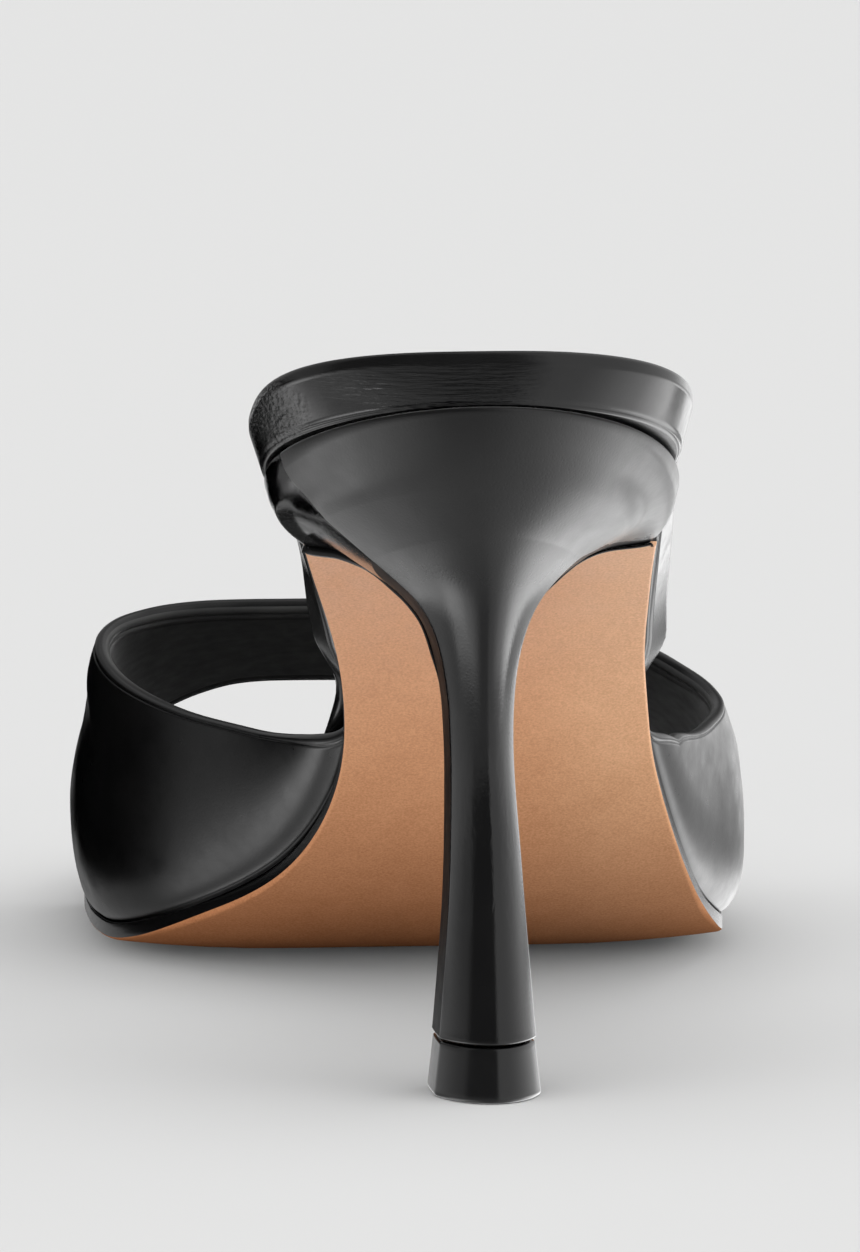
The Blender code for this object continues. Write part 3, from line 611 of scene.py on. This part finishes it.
# ------------------------------------------------------------------- outsole
def outsole_mesh(mats, n=230, breast=60):
    rear = BREAST_S + GAP - 0.4      # close under the heel's front
    a = np.linspace(rear, BALL_S, int(n * 0.6), endpoint=False)
    t = np.sin(np.linspace(0, math.pi / 2, n - len(a)))
    s = np.concatenate([a, BALL_S + (SOLE_END - BALL_S) * t])
    m = np.stack([s, outline(s, 'medial')], -1)
    l = np.stack([s, outline(s, 'lateral')], -1)[-2::-1]
    v = np.linspace(0, 1, breast)[1:-1, None]
    loop = np.concatenate([m, l, l[-1] * (1 - v) + m[0] * v])
    size = len(loop)
    tan = np.roll(loop, -1, 0) - np.roll(loop, 1, 0)
    tan /= np.linalg.norm(tan, axis=1, keepdims=True) + 1e-12
    inward = np.stack([tan[:, 1], -tan[:, 0]], -1)
    if ((loop.mean(0) - loop) * inward).sum() < 0:
        inward = -inward
    # a bevelled, hand-trimmed edge at the waist, a square one at the forefoot
    waist = 1 - ease((loop[:, 0] - 118) / 42)
    flat = ease((loop[:, 0] - 136) / 17)
    wide, high = 0.90 - 0.55 * waist - 0.15 * flat, 1.20 - 0.60 * waist - 0.85 * flat
    spine_s = np.clip(loop[:, 0], 70, 222)
    spine = np.stack([spine_s, (outline(spine_s, 'medial') + outline(spine_s, 'lateral')) / 2], -1)

    def ring(e, h, mid=0.0):
        p = loop + inward * np.reshape(e, (-1, 1))
        p = p + (spine - p) * mid
        ps = np.maximum(p[:, 0], rear)
        return on_sole(ps, p[:, 1], np.broadcast_to(h, size))

    mids = (0.03, 0.08, 0.16, 0.28, 0.42, 0.58, 0.74, 0.88, 1.0)
    rings = [ring(wide, 0.0, v) for v in mids[::-1]]
    low = len(rings)
    rings += [ring(wide * (1 - math.sin(q)), high * (1 - math.cos(q))) for q in arc(0, 90, 10)]
    top = len(rings)
    rings += [ring(0.0, high + (OUTSOLE_T - 0.3 - high) * v) for v in (0.33, 0.66, 1.0)]
    rings += [ring(0.3 * (1 - math.cos(q)), OUTSOLE_T - 0.3 + 0.3 * math.sin(q)) for q in arc(18, 90, 5)]
    rings += [ring(0.3, OUTSOLE_T, v) for v in (0.1, 0.3, 0.6, 1.0)]
    dyed = low + 8
    faces = tube_faces(len(rings), size)
    breast_at = len(m) + len(l)      # the cut under the heel stays undyed
    index = [0 if f[0] // size < dyed or (f[0] % size >= breast_at and f[0] // size < top + 2) else 1
             for f in faces]
    return piece('outsole_leather', np.concatenate(rings), faces, 'outsole',
                 mats, index)


# ---------------------------------------------------------------------- heel
def heel_line(level, corner=0.45, around=81, bend=9, side=19, face=25):
    """The heel's section: rounded back, softened creases, flanks, flat front."""
    c = {k: float(f(level)) for k, f in _heel.items()}
    depth = c['front_y'] - c['back_y']
    soft = float(np.interp(level, [0, 2, 4, 6, 9, 16], [3.0, 1.8, 0.9, 0.5, 0.4, 0.4]))
    sides = []
    for tag, k in (('', 1.0), ('lateral_', 0.0)):
        half, turn = c[tag + 'half'], math.radians(c[tag + 'turn'])
        crease_y = c['back_y'] + depth * c[tag + 'crease']

        def back(a):
            k_y = (math.cos(a) - math.cos(turn)) / (1 - math.cos(turn))
            return np.array([half * math.sin(a) / math.sin(turn),
                             crease_y - (crease_y - c['back_y']) * k_y])

        def flank(v):
            return np.array([half + (c['front_half'] - half) * v + k * c['bow'] * 4 * v * (1 - v),
                             crease_y + (c['front_y'] - crease_y) * v])

        step = np.linalg.norm(back(turn) - back(turn - 1e-3)) / 1e-3
        stop = turn - min(soft / step, 0.3 * turn)
        go = min(soft / (c['front_y'] - crease_y), 0.3)
        one = [back(a) for a in np.linspace(0, stop, around // 2 + 1)]
        last_v = 1 - min(corner / (c['front_y'] - crease_y), 0.4)
        p0, p1, p2 = back(stop), back(turn), flank(go)
        one += [(1 - v) ** 2 * p0 + 2 * v * (1 - v) * p1 + v * v * p2 for v in np.linspace(0, 1, bend)[1:]]
        one += [flank(v) for v in np.linspace(go, last_v, side)[1:]]
        p0, p1, p2 = one[-1], flank(1.0), np.array([c['front_half'] - corner, c['front_y']])
        one += [(1 - v) ** 2 * p0 + 2 * v * (1 - v) * p1 + v * v * p2 for v in np.linspace(0, 1, 8)[1:]]
        sides.append(one)
    medial, lateral = sides
    flat = [(p2[0] * v, c['front_y']) for v in np.linspace(1, -1, face)[1:-1]]
    out = []
    most = around // 2
    loop = [(-x, y) for x, y in medial[most:0:-1]] + lateral + flat
    for x, y in loop + [(-x, y) for x, y in medial[:most:-1]]:
        t = (y - c['back_y']) / depth
        z = c['back_z'] + (c['front_z'] - c['back_z']) * t
        out.append((c['centre'] + (c['front_centre'] - c['centre']) * t * t + x, y, z))
    return np.array(out)


def inset_line(loop, e):
    """A loop drawn in by e across its own plane's x and y."""
    p = loop[:, :2]
    t = np.roll(p, -1, 0) - np.roll(p, 1, 0)
    t /= np.linalg.norm(t, axis=1, keepdims=True) + 1e-12
    n = np.stack([t[:, 1], -t[:, 0]], -1)
    if ((p.mean(0) - p) * n).sum() < 0:
        n = -n
    out = loop.copy()
    out[:, :2] = p + n * e
    return out


def cap(loops, first):
    """Rings closing a loop towards its middle, for a filled end."""
    mid = loops.mean(0)
    return [mid + (loops - mid) * v for v in ((0.0, 0.35, 0.7, 0.9) if first else (0.9, 0.7, 0.35, 0.0))]


def heel_mesh(mats, levels=190):
    lines = [heel_line(v) for v in np.linspace(0, LOWEST, levels)]
    first = lines[0]
    for p in first:
        s = float(s_at(p[1]))
        for _ in range(4):
            s = float(s_at(p[1] - OUTSOLE_T * math.sin(float(np.interp(s, PS, PA)))))
        p[2] = float(on_sole(s, 0, OUTSOLE_T)[2])
    # a rounded top edge under the rim
    r = 0.55
    soft = []
    for a in arc(90, 10, 7):
        e = inset_line(first, r * (1 - math.cos(a)))
        e[:, 2] -= r * (1 - math.sin(a))
        soft.append(e)
    keep = [l for l in lines[1:] if (l[:, 2] < first[:, 2] - r - 0.25).all()]
    end = keep[-1]
    bottom = []
    for a in arc(15, 90, 5):
        e = inset_line(end, 0.35 * (1 - math.cos(a)))
        e[:, 2] -= 0.3 * math.sin(a) - 0.3
        bottom.append(e)
    keep = keep[:-1] + [inset_line(end, 0)]
    keep[-1][:, 2] += 0.3
    keep = [l for l in keep[:-1] if (l[:, 2] > end[:, 2] + 0.45).all()] + [keep[-1]]
    rings = cap(soft[0], True) + soft + keep + bottom + cap(bottom[-1], False)
    n = len(first)
    faces = tube_faces(len(rings), n)
    # the stem's flanks and front are a duller leather than its back
    back, bend, side = 81, 8, 33
    stem = [(ring[:, 2].max() < 69.5) and (ring[:, 2].max() > 7.4) for ring in rings]
    index = []
    for face in faces:
        row, column = face[0] // n, face[0] % n
        flank = back + bend - 4 <= column < n - bend + 3
        wing = 2 if column > back + bend + side else 1
        index.append((1 if stem[row] else wing if rings[row][:, 2].max() > 60 else 0) if flank else 0)
    lines, loops = len(rings), [np.concatenate(rings)]
    for sign in (-1, 1):
        strip, strip_faces = arch_lip(sign)
        faces += [[i + sum(len(l) for l in loops) for i in f] for f in strip_faces]
        index += [0] * len(strip_faces)
        loops.append(strip)
    return piece('heel_cover', np.concatenate(loops), faces, 'heel', mats, index)


def arch_lip(sign):
    """The turned edge of the breast covering, a thin lip under each arch."""
    levels = np.concatenate([np.linspace(1.0, 3.0, 26)[1:], np.linspace(3.1, 9.5, 40)])
    path = []
    for v in levels:
        c = {k: float(f(v)) for k, f in _heel.items()}
        path.append((c['front_centre'] + sign * c['front_half'], c['front_y'], c['front_z']))
    path = np.array(path)
    # the outer end turns down along the waist
    first = path[0]
    drop = 0.4 if sign > 0 else 0.7
    turn = np.array([[first[0] + sign * 0.30 * math.sin(a), first[1], first[2] - drop * (1 - math.cos(a))]
                     for a in arc(88, 12, 8)])
    path = np.concatenate([turn, path])
    t = np.gradient(path, axis=0)
    t /= np.linalg.norm(t, axis=1, keepdims=True)
    down = np.cross(t, [0.0, 1.0, 0.0])
    down /= np.linalg.norm(down, axis=1, keepdims=True)
    if down[len(path) // 3, 2] > 0:
        down = -down
    share = np.linspace(0, 1, len(path))
    tall = 0.85 * (1 - 0.6 * ease(share * 1.15 - 0.1)) * ease((1 - share) * 8)
    if sign > 0:
        tall = tall * 0.3
    top = -0.1 if sign > 0 else -0.5
    rings = []
    for p, d, h in zip(path, down, tall):
        q = [(-0.9, top), (-0.9, 0.55 * h), (-0.82, 0.8 * h), (-0.62, 0.96 * h), (-0.4, h), (-0.18, 0.93 * h),
             (-0.05, 0.75 * h), (0.0, 0.5 * h), (0.0, top)]
        rings.append([p + np.array([0, y, 0]) + d * e for y, e in q])
    m, n = len(rings[0]), len(rings)
    faces = tube_faces(n, m)
    faces += [list(range(m))[::-1], [m * (n - 1) + i for i in range(m)]]
    if sign > 0:
        faces = [f[::-1] for f in faces]
    return np.concatenate(rings), [list(f) for f in faces]


def lift_mesh(mats):
    base = heel_line(LOWEST, 0.5)
    rows = [(LIFT_H + 0.02, 0.85), (LIFT_H, 0.55), (LIFT_H - 0.06, 0.32), (LIFT_H - 0.2, 0.17),
            (LIFT_H - 0.45, 0.1)]
    rows += [(float(z), 0.1 - 0.65 * (LIFT_H - 0.45 - z) / (LIFT_H - 0.95))
             for z in np.linspace(LIFT_H - 0.8, 0.55, 13)]
    rows += [(0.3, -0.53), (0.12, -0.46), (0.03, -0.35), (0.0, -0.15), (0.0, 0.3)]
    rings = []
    for z, e in rows:
        l = inset_line(base, e)
        l[:, 2] = z
        rings.append(l)
    rings = cap(rings[0], True) + rings + cap(rings[-1], False)
    return piece('top_lift_block', np.concatenate(rings), tube_faces(len(rings), len(base)),
                 'top_lift', mats)


# ----------------------------------------------------------------- materials
class Nodes:
    """A material's node tree, written as short calls."""

    def __init__(self, name):
        self.mat = bpy.data.materials.new(name)
        self.mat.use_nodes = True
        self.t = self.mat.node_tree
        self.bsdf = self.t.nodes['Principled BSDF']
        self.pos = self.t.nodes.new('ShaderNodeTexCoord').outputs['Object']

    def new(self, kind, **props):
        n = self.t.nodes.new('ShaderNode' + kind)
        for k, v in props.items():
            setattr(n, k, v)
        return n

    def link(self, a, b):
        if isinstance(a, (int, float, tuple)):
            b.default_value = a
        else:
            self.t.links.new(a, b)

    def scaled(self, by, turn=(0, 0, 0)):
        n = self.new('Mapping')
        self.link(self.pos, n.inputs['Vector'])
        n.inputs['Scale'].default_value = by
        n.inputs['Rotation'].default_value = turn
        return n.outputs[0]

    def noise(self, size_mm, detail=2.0, rough=0.5, vector=None, distort=0.0):
        n = self.new('TexNoise')
        self.link(vector or self.pos, n.inputs['Vector'])
        n.inputs['Scale'].default_value = 1000.0 / size_mm
        n.inputs['Detail'].default_value = detail
        n.inputs['Roughness'].default_value = rough
        n.inputs['Distortion'].default_value = distort
        return n.outputs['Fac']

    def cells(self, size_mm, feature='F1', vector=None):
        n = self.new('TexVoronoi', feature=feature)
        self.link(vector or self.pos, n.inputs['Vector'])
        n.inputs['Scale'].default_value = 1000.0 / size_mm
        return n.outputs['Distance']

    def math(self, op, a, b=0.0, clamp=False):
        n = self.new('Math', operation=op, use_clamp=clamp)
        self.link(a, n.inputs[0])
        self.link(b, n.inputs[1])
        return n.outputs[0]

    def remap(self, v, a, b, c=0.0, d=1.0, kind='SMOOTHSTEP'):
        n = self.new('MapRange', interpolation_type=kind)
        self.link(v, n.inputs['Value'])
        for key, val in (('From Min', a), ('From Max', b), ('To Min', c), ('To Max', d)):
            n.inputs[key].default_value = val
        return n.outputs['Result']

    def mix(self, f, a, b):
        n = self.new('Mix', data_type='RGBA')
        self.link(f, n.inputs['Factor'])
        self.link(a, n.inputs['A'])
        self.link(b, n.inputs['B'])
        return n.outputs['Result']

    def sum(self, *parts):
        """Sum of (factor, value) pairs."""
        total = None
        for k, v in parts:
            p = self.math('MULTIPLY', v, k)
            total = p if total is None else self.math('ADD', total, p)
        return total

    def bump(self, height, mm):
        """Heights of 0 to 1 stand for so many mm."""
        n = self.new('Bump')
        n.inputs['Distance'].default_value = 0.001 * mm
        n.inputs['Strength'].default_value = 1.0
        self.link(height, n.inputs['Height'])
        self.link(n.outputs['Normal'], self.bsdf.inputs['Normal'])
        return n

    def axis(self, i):
        n = self.new('SeparateXYZ')
        self.link(self.pos, n.inputs[0])
        return n.outputs[i]

    def near(self, centre_mm, radius_mm):
        """1 at a place in the shoe's own axes, fading to 0 at an ellipsoid round it."""
        c = (np.array(centre_mm, float) - SHIFT) * 0.001
        sub = self.new('VectorMath', operation='SUBTRACT')
        self.link(self.pos, sub.inputs[0])
        sub.inputs[1].default_value = tuple(c)
        div = self.new('VectorMath', operation='DIVIDE')
        self.link(sub.outputs[0], div.inputs[0])
        div.inputs[1].default_value = tuple(0.001 * r for r in radius_mm)
        size = self.new('VectorMath', operation='LENGTH')
        self.link(div.outputs[0], size.inputs[0])
        return self.remap(size.outputs['Value'], 0.35, 1.0, 1.0, 0.0)


def black_leather(name, rough=(0.17, 0.27), grain=1.0, wrinkles=(), dull=0.0, ior=1.5, satin=None):
    """Smooth black calf: fine pores, a slight waviness, and wrinkles where listed.

    wrinkles: (centre mm, radii mm, stretch of the pattern, turn, depth mm)
    satin: (height, height, how much rougher and how much sheen above the second one)
    """
    m = Nodes(name)
    tone = m.remap(m.noise(9.0, 3.0), 0.35, 0.65)
    col = m.mix(tone, (0.0018, 0.0018, 0.0020, 1), (0.0028, 0.0027, 0.0028, 1))
    m.link(col, m.bsdf.inputs['Base Color'])
    r = m.noise(3.5, 4.0, 0.6)
    r = m.remap(r, 0.3, 0.7, rough[0] + dull, rough[1] + dull, 'LINEAR')
    if satin:
        r = m.math('ADD', r, m.remap(m.axis(2), satin[0], satin[1], 0.0, satin[2]))
        m.link(m.remap(m.axis(2), satin[0], satin[1], 0.0, satin[3]), m.bsdf.inputs['Sheen Weight'])
        m.bsdf.inputs['Sheen Roughness'].default_value = 0.35
    m.link(r, m.bsdf.inputs['Roughness'])
    m.bsdf.inputs['IOR'].default_value = ior
    pores = m.remap(m.cells(0.42), 0.0, 0.55)
    fine = m.noise(0.40, 2.0)
    wave = m.noise(4.5, 2.0)
    parts = [(0.0022 * grain, pores), (0.0030 * grain, fine), (0.022, wave)]
    for centre, radii, stretch, turn, deep in wrinkles:
        lines = m.noise(1.0, 3.0, 0.55, m.scaled(stretch, turn), 0.25)
        lines = m.math('MULTIPLY', m.remap(lines, 0.3, 0.7, 0, 1, 'LINEAR'), m.near(centre, radii))
        parts.append((deep, lines))
    m.bump(m.sum(*parts), 1.0)
    return m.mat


def tan_leather(name):
    """Varnished vegetable-tanned sole leather: fine fibre speckle, faint clouding,
    glossier at the waist; painted shade darkens it towards the floor, and painted light makes it paler higher
    up and towards the lateral side."""
    m = Nodes(name)
    speck = m.noise(0.30, 2.0, 0.6)
    cloud = m.noise(14.0, 3.0, 0.55)
    drift = m.noise(3.2, 3.0, 0.5)
    f = m.sum((0.66, speck), (0.18, cloud), (0.16, drift))
    f = m.remap(f, 0.36, 0.64, 0, 1, 'LINEAR')
    # painted shade: low is the colour near the floor, darkened for the shade under the sole; high is the lit
    # colour further up
    low = m.mix(f, (0.245, 0.077, 0.023, 1), (0.325, 0.107, 0.033, 1))
    high = m.mix(f, (0.65, 0.310, 0.157, 1), (0.83, 0.430, 0.235, 1))
    pale = m.mix(f, (0.73, 0.390, 0.210, 1), (0.93, 0.540, 0.315, 1))
    # painted light: the upper colour turns paler towards the lateral side, where more light falls
    high = m.mix(m.remap(m.axis(0), 0.004, 0.022), high, pale)
    # painted shade and light by height: the dark colour at the floor, the lit colour towards the waist
    painted_shade_by_height = m.remap(m.axis(2), -0.015, 0.045)
    col = m.mix(painted_shade_by_height, low, high)
    pits = m.remap(m.cells(0.9), 0.02, 0.16, 1.0, 0.0)
    pits = m.math('MULTIPLY', pits, m.remap(m.noise(2.4, 1.0), 0.52, 0.60))
    col = m.mix(m.math('MULTIPLY', pits, 0.30), col, (0.25, 0.11, 0.05, 1))
    m.link(col, m.bsdf.inputs['Base Color'])
    m.link(m.remap(drift, 0.3, 0.7, 0.46, 0.58, 'LINEAR'), m.bsdf.inputs['Roughness'])
    m.link(m.remap(m.axis(2), 0.024, 0.062, 0.0, 0.55), m.bsdf.inputs['Specular IOR Level'])
    m.bump(m.sum((0.006, speck), (0.005, drift)), 1.0)
    return m.mat


def edge_dye(name):
    """Burnished black edge ink."""
    m = Nodes(name)
    m.bsdf.inputs['Base Color'].default_value = (0.003, 0.003, 0.0032, 1)
    streak = m.noise(1.0, 2.0, 0.5, m.scaled((1.0, 1.0, 4.0)))
    m.link(m.remap(streak, 0.3, 0.7, 0.20, 0.26, 'LINEAR'), m.bsdf.inputs['Roughness'])
    m.bump(m.sum((0.003, streak), (0.001, m.noise(0.5, 2.0))), 1.0)
    return m.mat


def lining_leather(name):
    """Matt black lining with a fine even grain."""
    m = Nodes(name)
    grain = m.cells(0.38)
    m.link(m.mix(m.remap(m.noise(6.0, 3.0), 0.35, 0.65), (0.030, 0.030, 0.030, 1),
                 (0.041, 0.041, 0.040, 1)), m.bsdf.inputs['Base Color'])
    m.link(m.remap(m.noise(2.0, 3.0), 0.3, 0.7, 0.42, 0.54, 'LINEAR'), m.bsdf.inputs['Roughness'])
    m.bump(m.sum((0.006, grain), (0.004, m.noise(0.25, 2.0)), (0.03, m.noise(5.0, 2.0))), 1.0)
    return m.mat


def gloss_block(name):
    """Moulded top lift, polished on its sides."""
    m = Nodes(name)
    m.bsdf.inputs['Base Color'].default_value = (0.003, 0.003, 0.0032, 1)
    m.link(m.remap(m.noise(1.6, 3.0), 0.3, 0.7, 0.12, 0.2, 'LINEAR'), m.bsdf.inputs['Roughness'])
    m.bump(m.sum((0.006, m.noise(2.4, 2.0)), (0.0015, m.noise(0.3, 2.0))), 1.0)
    return m.mat


# --------------------------------------------------------------------- shoe
leather = black_leather('black_calf', rough=(0.27, 0.37), grain=1.7)
rim_calf = black_leather('black_calf_rim', wrinkles=[
    ((-8, 1, 87), (21, 12, 4.6), (0.22, 0.22, 2.6), (0, 0.10, 0), 0.085),
    ((-27, 20, 83), (7, 17, 7), (1.6, 0.9, 1.5), (0, 0.3, 0), 0.160)])
heel_calf = black_leather('black_calf_heel', rough=(0.11, 0.19), grain=2.6,
                          satin=(0.054, 0.070, 0.20, 0.42), wrinkles=[
    ((-0.5, 12, 34), (7, 6, 20), (1.0, 1.0, 0.30), (0, 0, 0), 0.030),
    ((-24, 30, 68), (9, 18, 8), (0.9, 0.7, 1.2), (0, 0, 0), 0.050)])
lining = lining_leather('black_lining')
ring = footbed_ring_maker(210)

upper_mesh([leather, lining])
rim_wrap(ring, [rim_calf])
sock(ring, [lining])
sole = outsole_mesh([tan_leather('tan_sole'), edge_dye('black_edge')])
sole.visible_diffuse = False     # its tan doesn't tint the floor's shadow
heel_mesh([heel_calf, black_leather('black_calf_flank', dull=0.22, ior=1.16),
           black_leather('black_calf_wing', rough=(0.07, 0.12), grain=4.0)])
lift_mesh([gloss_block('black_lift')])


# --------------------------------------------------------- floor, light, camera
def floor_material():
    m = Nodes('pale_floor')
    m.bsdf.inputs['Base Color'].default_value = (FLOOR_TONE, FLOOR_TONE, FLOOR_TONE * 0.997, 1)
    m.bsdf.inputs['Roughness'].default_value = 0.9
    m.bsdf.inputs['Specular IOR Level'].default_value = 0.1
    return m.mat


FLOOR_TONE = 0.62
me = bpy.data.meshes.new('floor')
me.from_pydata([(-9, -9, -1e-4), (9, -9, -1e-4), (9, 9, -1e-4), (-9, 9, -1e-4)], [], [(0, 1, 2, 3)])
me.materials.append(floor_material())
floor = bpy.data.objects.new('floor', me)
bpy.context.scene.collection.objects.link(floor)


def card(name, corners_mm, level=0.0, soft=0.0):
    """A card beside the shoe, seen only in its gloss: black where another thing
    would stand, or floor of a given brightness, fading out at its edges."""
    me = bpy.data.meshes.new(name)
    pts = np.array(corners_mm, float) - SHIFT
    me.from_pydata((pts * 0.001).tolist(), [], [(0, 1, 2, 3)])
    m = Nodes(name)
    m.t.nodes.remove(m.bsdf)
    glow = m.new('Emission')
    glow.inputs['Color'].default_value = (1, 1, 1, 1)
    glow.inputs['Strength'].default_value = level
    shader = glow.outputs[0]
    if soft:
        cover = 1.0
        for i in (0, 1):
            lo, hi = 0.001 * pts[:, i].min(), 0.001 * pts[:, i].max()
            v = m.axis(i)
            cover = m.math('MULTIPLY', cover, m.remap(v, lo, lo + 0.001 * soft))
            cover = m.math('MULTIPLY', cover, m.remap(v, hi - 0.001 * soft, hi, 1.0, 0.0))
        mixed = m.new('MixShader')
        m.link(cover, mixed.inputs[0])
        m.link(m.new('BsdfTransparent').outputs[0], mixed.inputs[1])
        m.link(shader, mixed.inputs[2])
        shader = mixed.outputs[0]
    m.link(shader, m.t.nodes['Material Output'].inputs['Surface'])
    me.materials.append(m.mat)
    o = bpy.data.objects.new(name, me)
    bpy.context.scene.collection.objects.link(o)
    o.visible_camera = False
    o.visible_diffuse = False
    o.visible_shadow = False
    o.visible_transmission = False


card('card_front', [(-46, 236, 0), (-112, 236, 0), (-112, 236, 58), (-46, 236, 58)])
card('card_side', [(-54, 118, 0), (-54, 280, 0), (-112, 280, 58), (-112, 118, 58)])
card('card_high', [(-135, 52, 58), (-135, 236, 58), (-135, 236, 94), (-135, 52, 94)])
# painted shade: a dim glowing sheet seen only in gloss, standing for the floor in shade on the medial side
card('card_shaded_floor_left', [(-190, 108, 0), (-4, 108, 0), (-4, 300, 0), (-190, 300, 0)], 0.37, 18)
card('card_floor_right', [(50, 110, 0), (240, 110, 0), (240, 270, 0), (50, 270, 0)], 0.70, 40)
floor.visible_glossy = False


# what the gloss reflects: (added light, azimuth window, elevation window), in
# degrees round from behind the camera, positive to the right, and up
GLOSS = [
    (0.14, (-135, -105, 20, 45), (-99, -98, -10, -3)),
    (0.19, (-135, -105, 20, 45), (-99, -98, -55, -40)),
    (0.58, (10, 40, 150, 172), (-99, -98, -10, -3)),
    (0.80, (14, 28, 150, 172), (-10, -3, 55, 75)),
    (0.15, (60, 105, 135, 160), (-30, -12, 8, 25)),
    (0.60, (40, 78, 100, 122), (-58, -38, -24, -12)),
    (0.82, (92, 125, 181, 182), (-99, -98, -50, -36)),
    (0.29, (-182, -181, -88, -68), (-12, -4, 55, 75)),
    (1.25, (-124, -112, -85, -20), (-52, -40, -28, -12)),
    (1.05, (-156, -147, -100, -80), (-50, -42, -33, -25)),
    (3.00, (-182, -181, -150, -105), (-99, -98, -64, -52)),
    (0.33, (95, 125, 181, 182), (45, 66, 98, 99)),
    (0.75, (-182, -181, -150, -125), (50, 70, 98, 99)),
    (0.45, (20, 60, 140, 160), (55, 70, 98, 99)),
    (1.45, (92, 118, 148, 160), (-62, -48, -16, -8)),
    (0.62, (92, 118, 181, 182), (-62, -48, -16, -8)),
    (0.55, (60, 95, 130, 160), (-60, -45, -20, -8)),
    (0.21, (-999, -998, 998, 999), (-99, -98, -3, 1)),
    (0.80, (-182, -181, -165, -140), (-60, -50, -38, -30)),
    (0.60, (-182, -181, -171, -164), (-34, -27, -14, -8)),
    (1.20, (148, 158, 181, 182), (-45, -34, -12, -5)),
    (0.75, (130, 145, 165, 172), (-12, -4, 0, 8)),
]
# what lights the floor and the matt surfaces
SOFT = [
    (1.95, (-110, -50, 50, 110), (4, 14, 40, 60)),
    (0.60, (20, 70, 130, 170), (-30, 0, 40, 60)),
    (1.25, (-999, -998, 998, 999), (50, 66, 98, 99)),
]


def sky():
    """A studio as light from all round: walls and softboxes either side, the dark
    side of the room behind the camera. The camera itself sees a plain pale wall."""
    w = bpy.data.worlds.new('studio')
    w.use_nodes = True
    t = w.node_tree
    t.nodes.clear()

    def new(kind, **props):
        n = t.nodes.new('ShaderNode' + kind)
        for k, v in props.items():
            setattr(n, k, v)
        return n

    def link(a, b):
        if isinstance(a, (int, float, tuple)):
            b.default_value = a
        else:
            t.links.new(a, b)

    def math_(op, a, b=0.0):
        n = new('Math', operation=op)
        link(a, n.inputs[0])
        link(b, n.inputs[1])
        return n.outputs[0]

    def step(v, a, b):
        n = new('MapRange', interpolation_type='SMOOTHSTEP')
        link(v, n.inputs['Value'])
        n.inputs['From Min'].default_value, n.inputs['From Max'].default_value = a, b
        return n.outputs['Result']

    def window(v, a, b, c, d):
        """Rises from a to b, falls from c to d."""
        return math_('MULTIPLY', step(v, a, b), math_('SUBTRACT', 1.0, step(v, c, d)))

    def background(level, colour=(1, 1, 1, 1)):
        n = new('Background')
        link(level, n.inputs['Strength'])
        n.inputs['Color'].default_value = colour
        return n.outputs[0]

    def mixed(f, a, b):
        n = new('MixShader')
        link(f, n.inputs[0])
        link(a, n.inputs[1])
        link(b, n.inputs[2])
        return n.outputs[0]

    xyz = new('SeparateXYZ')
    link(new('TexCoord').outputs['Generated'], xyz.inputs[0])
    x, y, z = xyz.outputs
    az = math_('MULTIPLY', math_('ARCTAN2', x, math_('MULTIPLY', y, -1.0)), 180 / math.pi)
    el = math_('MULTIPLY', math_('ARCSINE', z), 180 / math.pi)

    def total(base, rows):
        level = base
        for amount, a, e in rows:
            part = math_('MULTIPLY', window(az, *a), window(el, *e))
            level = math_('ADD', level, math_('MULTIPLY', part, amount))
        return level

    path = new('LightPath')
    soft = background(total(SOFT_BASE, SOFT))
    gloss = background(total(GLOSS_BASE, GLOSS))
    wall = background(1.0, (0.783, 0.799, 0.791, 1))
    out = mixed(path.outputs['Is Glossy Ray'], soft, gloss)
    out = mixed(path.outputs['Is Camera Ray'], out, wall)
    link(out, new('OutputWorld').inputs['Surface'])
    w.cycles.sampling_method = 'NONE'
    bpy.context.scene.world = w


GLOSS_BASE, SOFT_BASE = 0.14, 0.36
sky()

cam_data = bpy.data.cameras.new('camera')
cam = bpy.data.objects.new('camera', cam_data)
bpy.context.scene.collection.objects.link(cam)
cam.location = (-0.15226, -1.49018, 0.230)
aim = np.array([-0.00045, 0.0, 0.0455])
view = aim - np.array(cam.location)
from mathutils import Vector
cam.rotation_euler = Vector(view).to_track_quat('-Z', 'Y').to_euler()
cam_data.sensor_width = 36.0
cam_data.lens = 199.62 * 1.7
cam_data.clip_start, cam_data.clip_end = 0.05, 60.0
bpy.context.scene.camera = cam
bpy.context.scene.view_settings.view_transform = 'Standard'
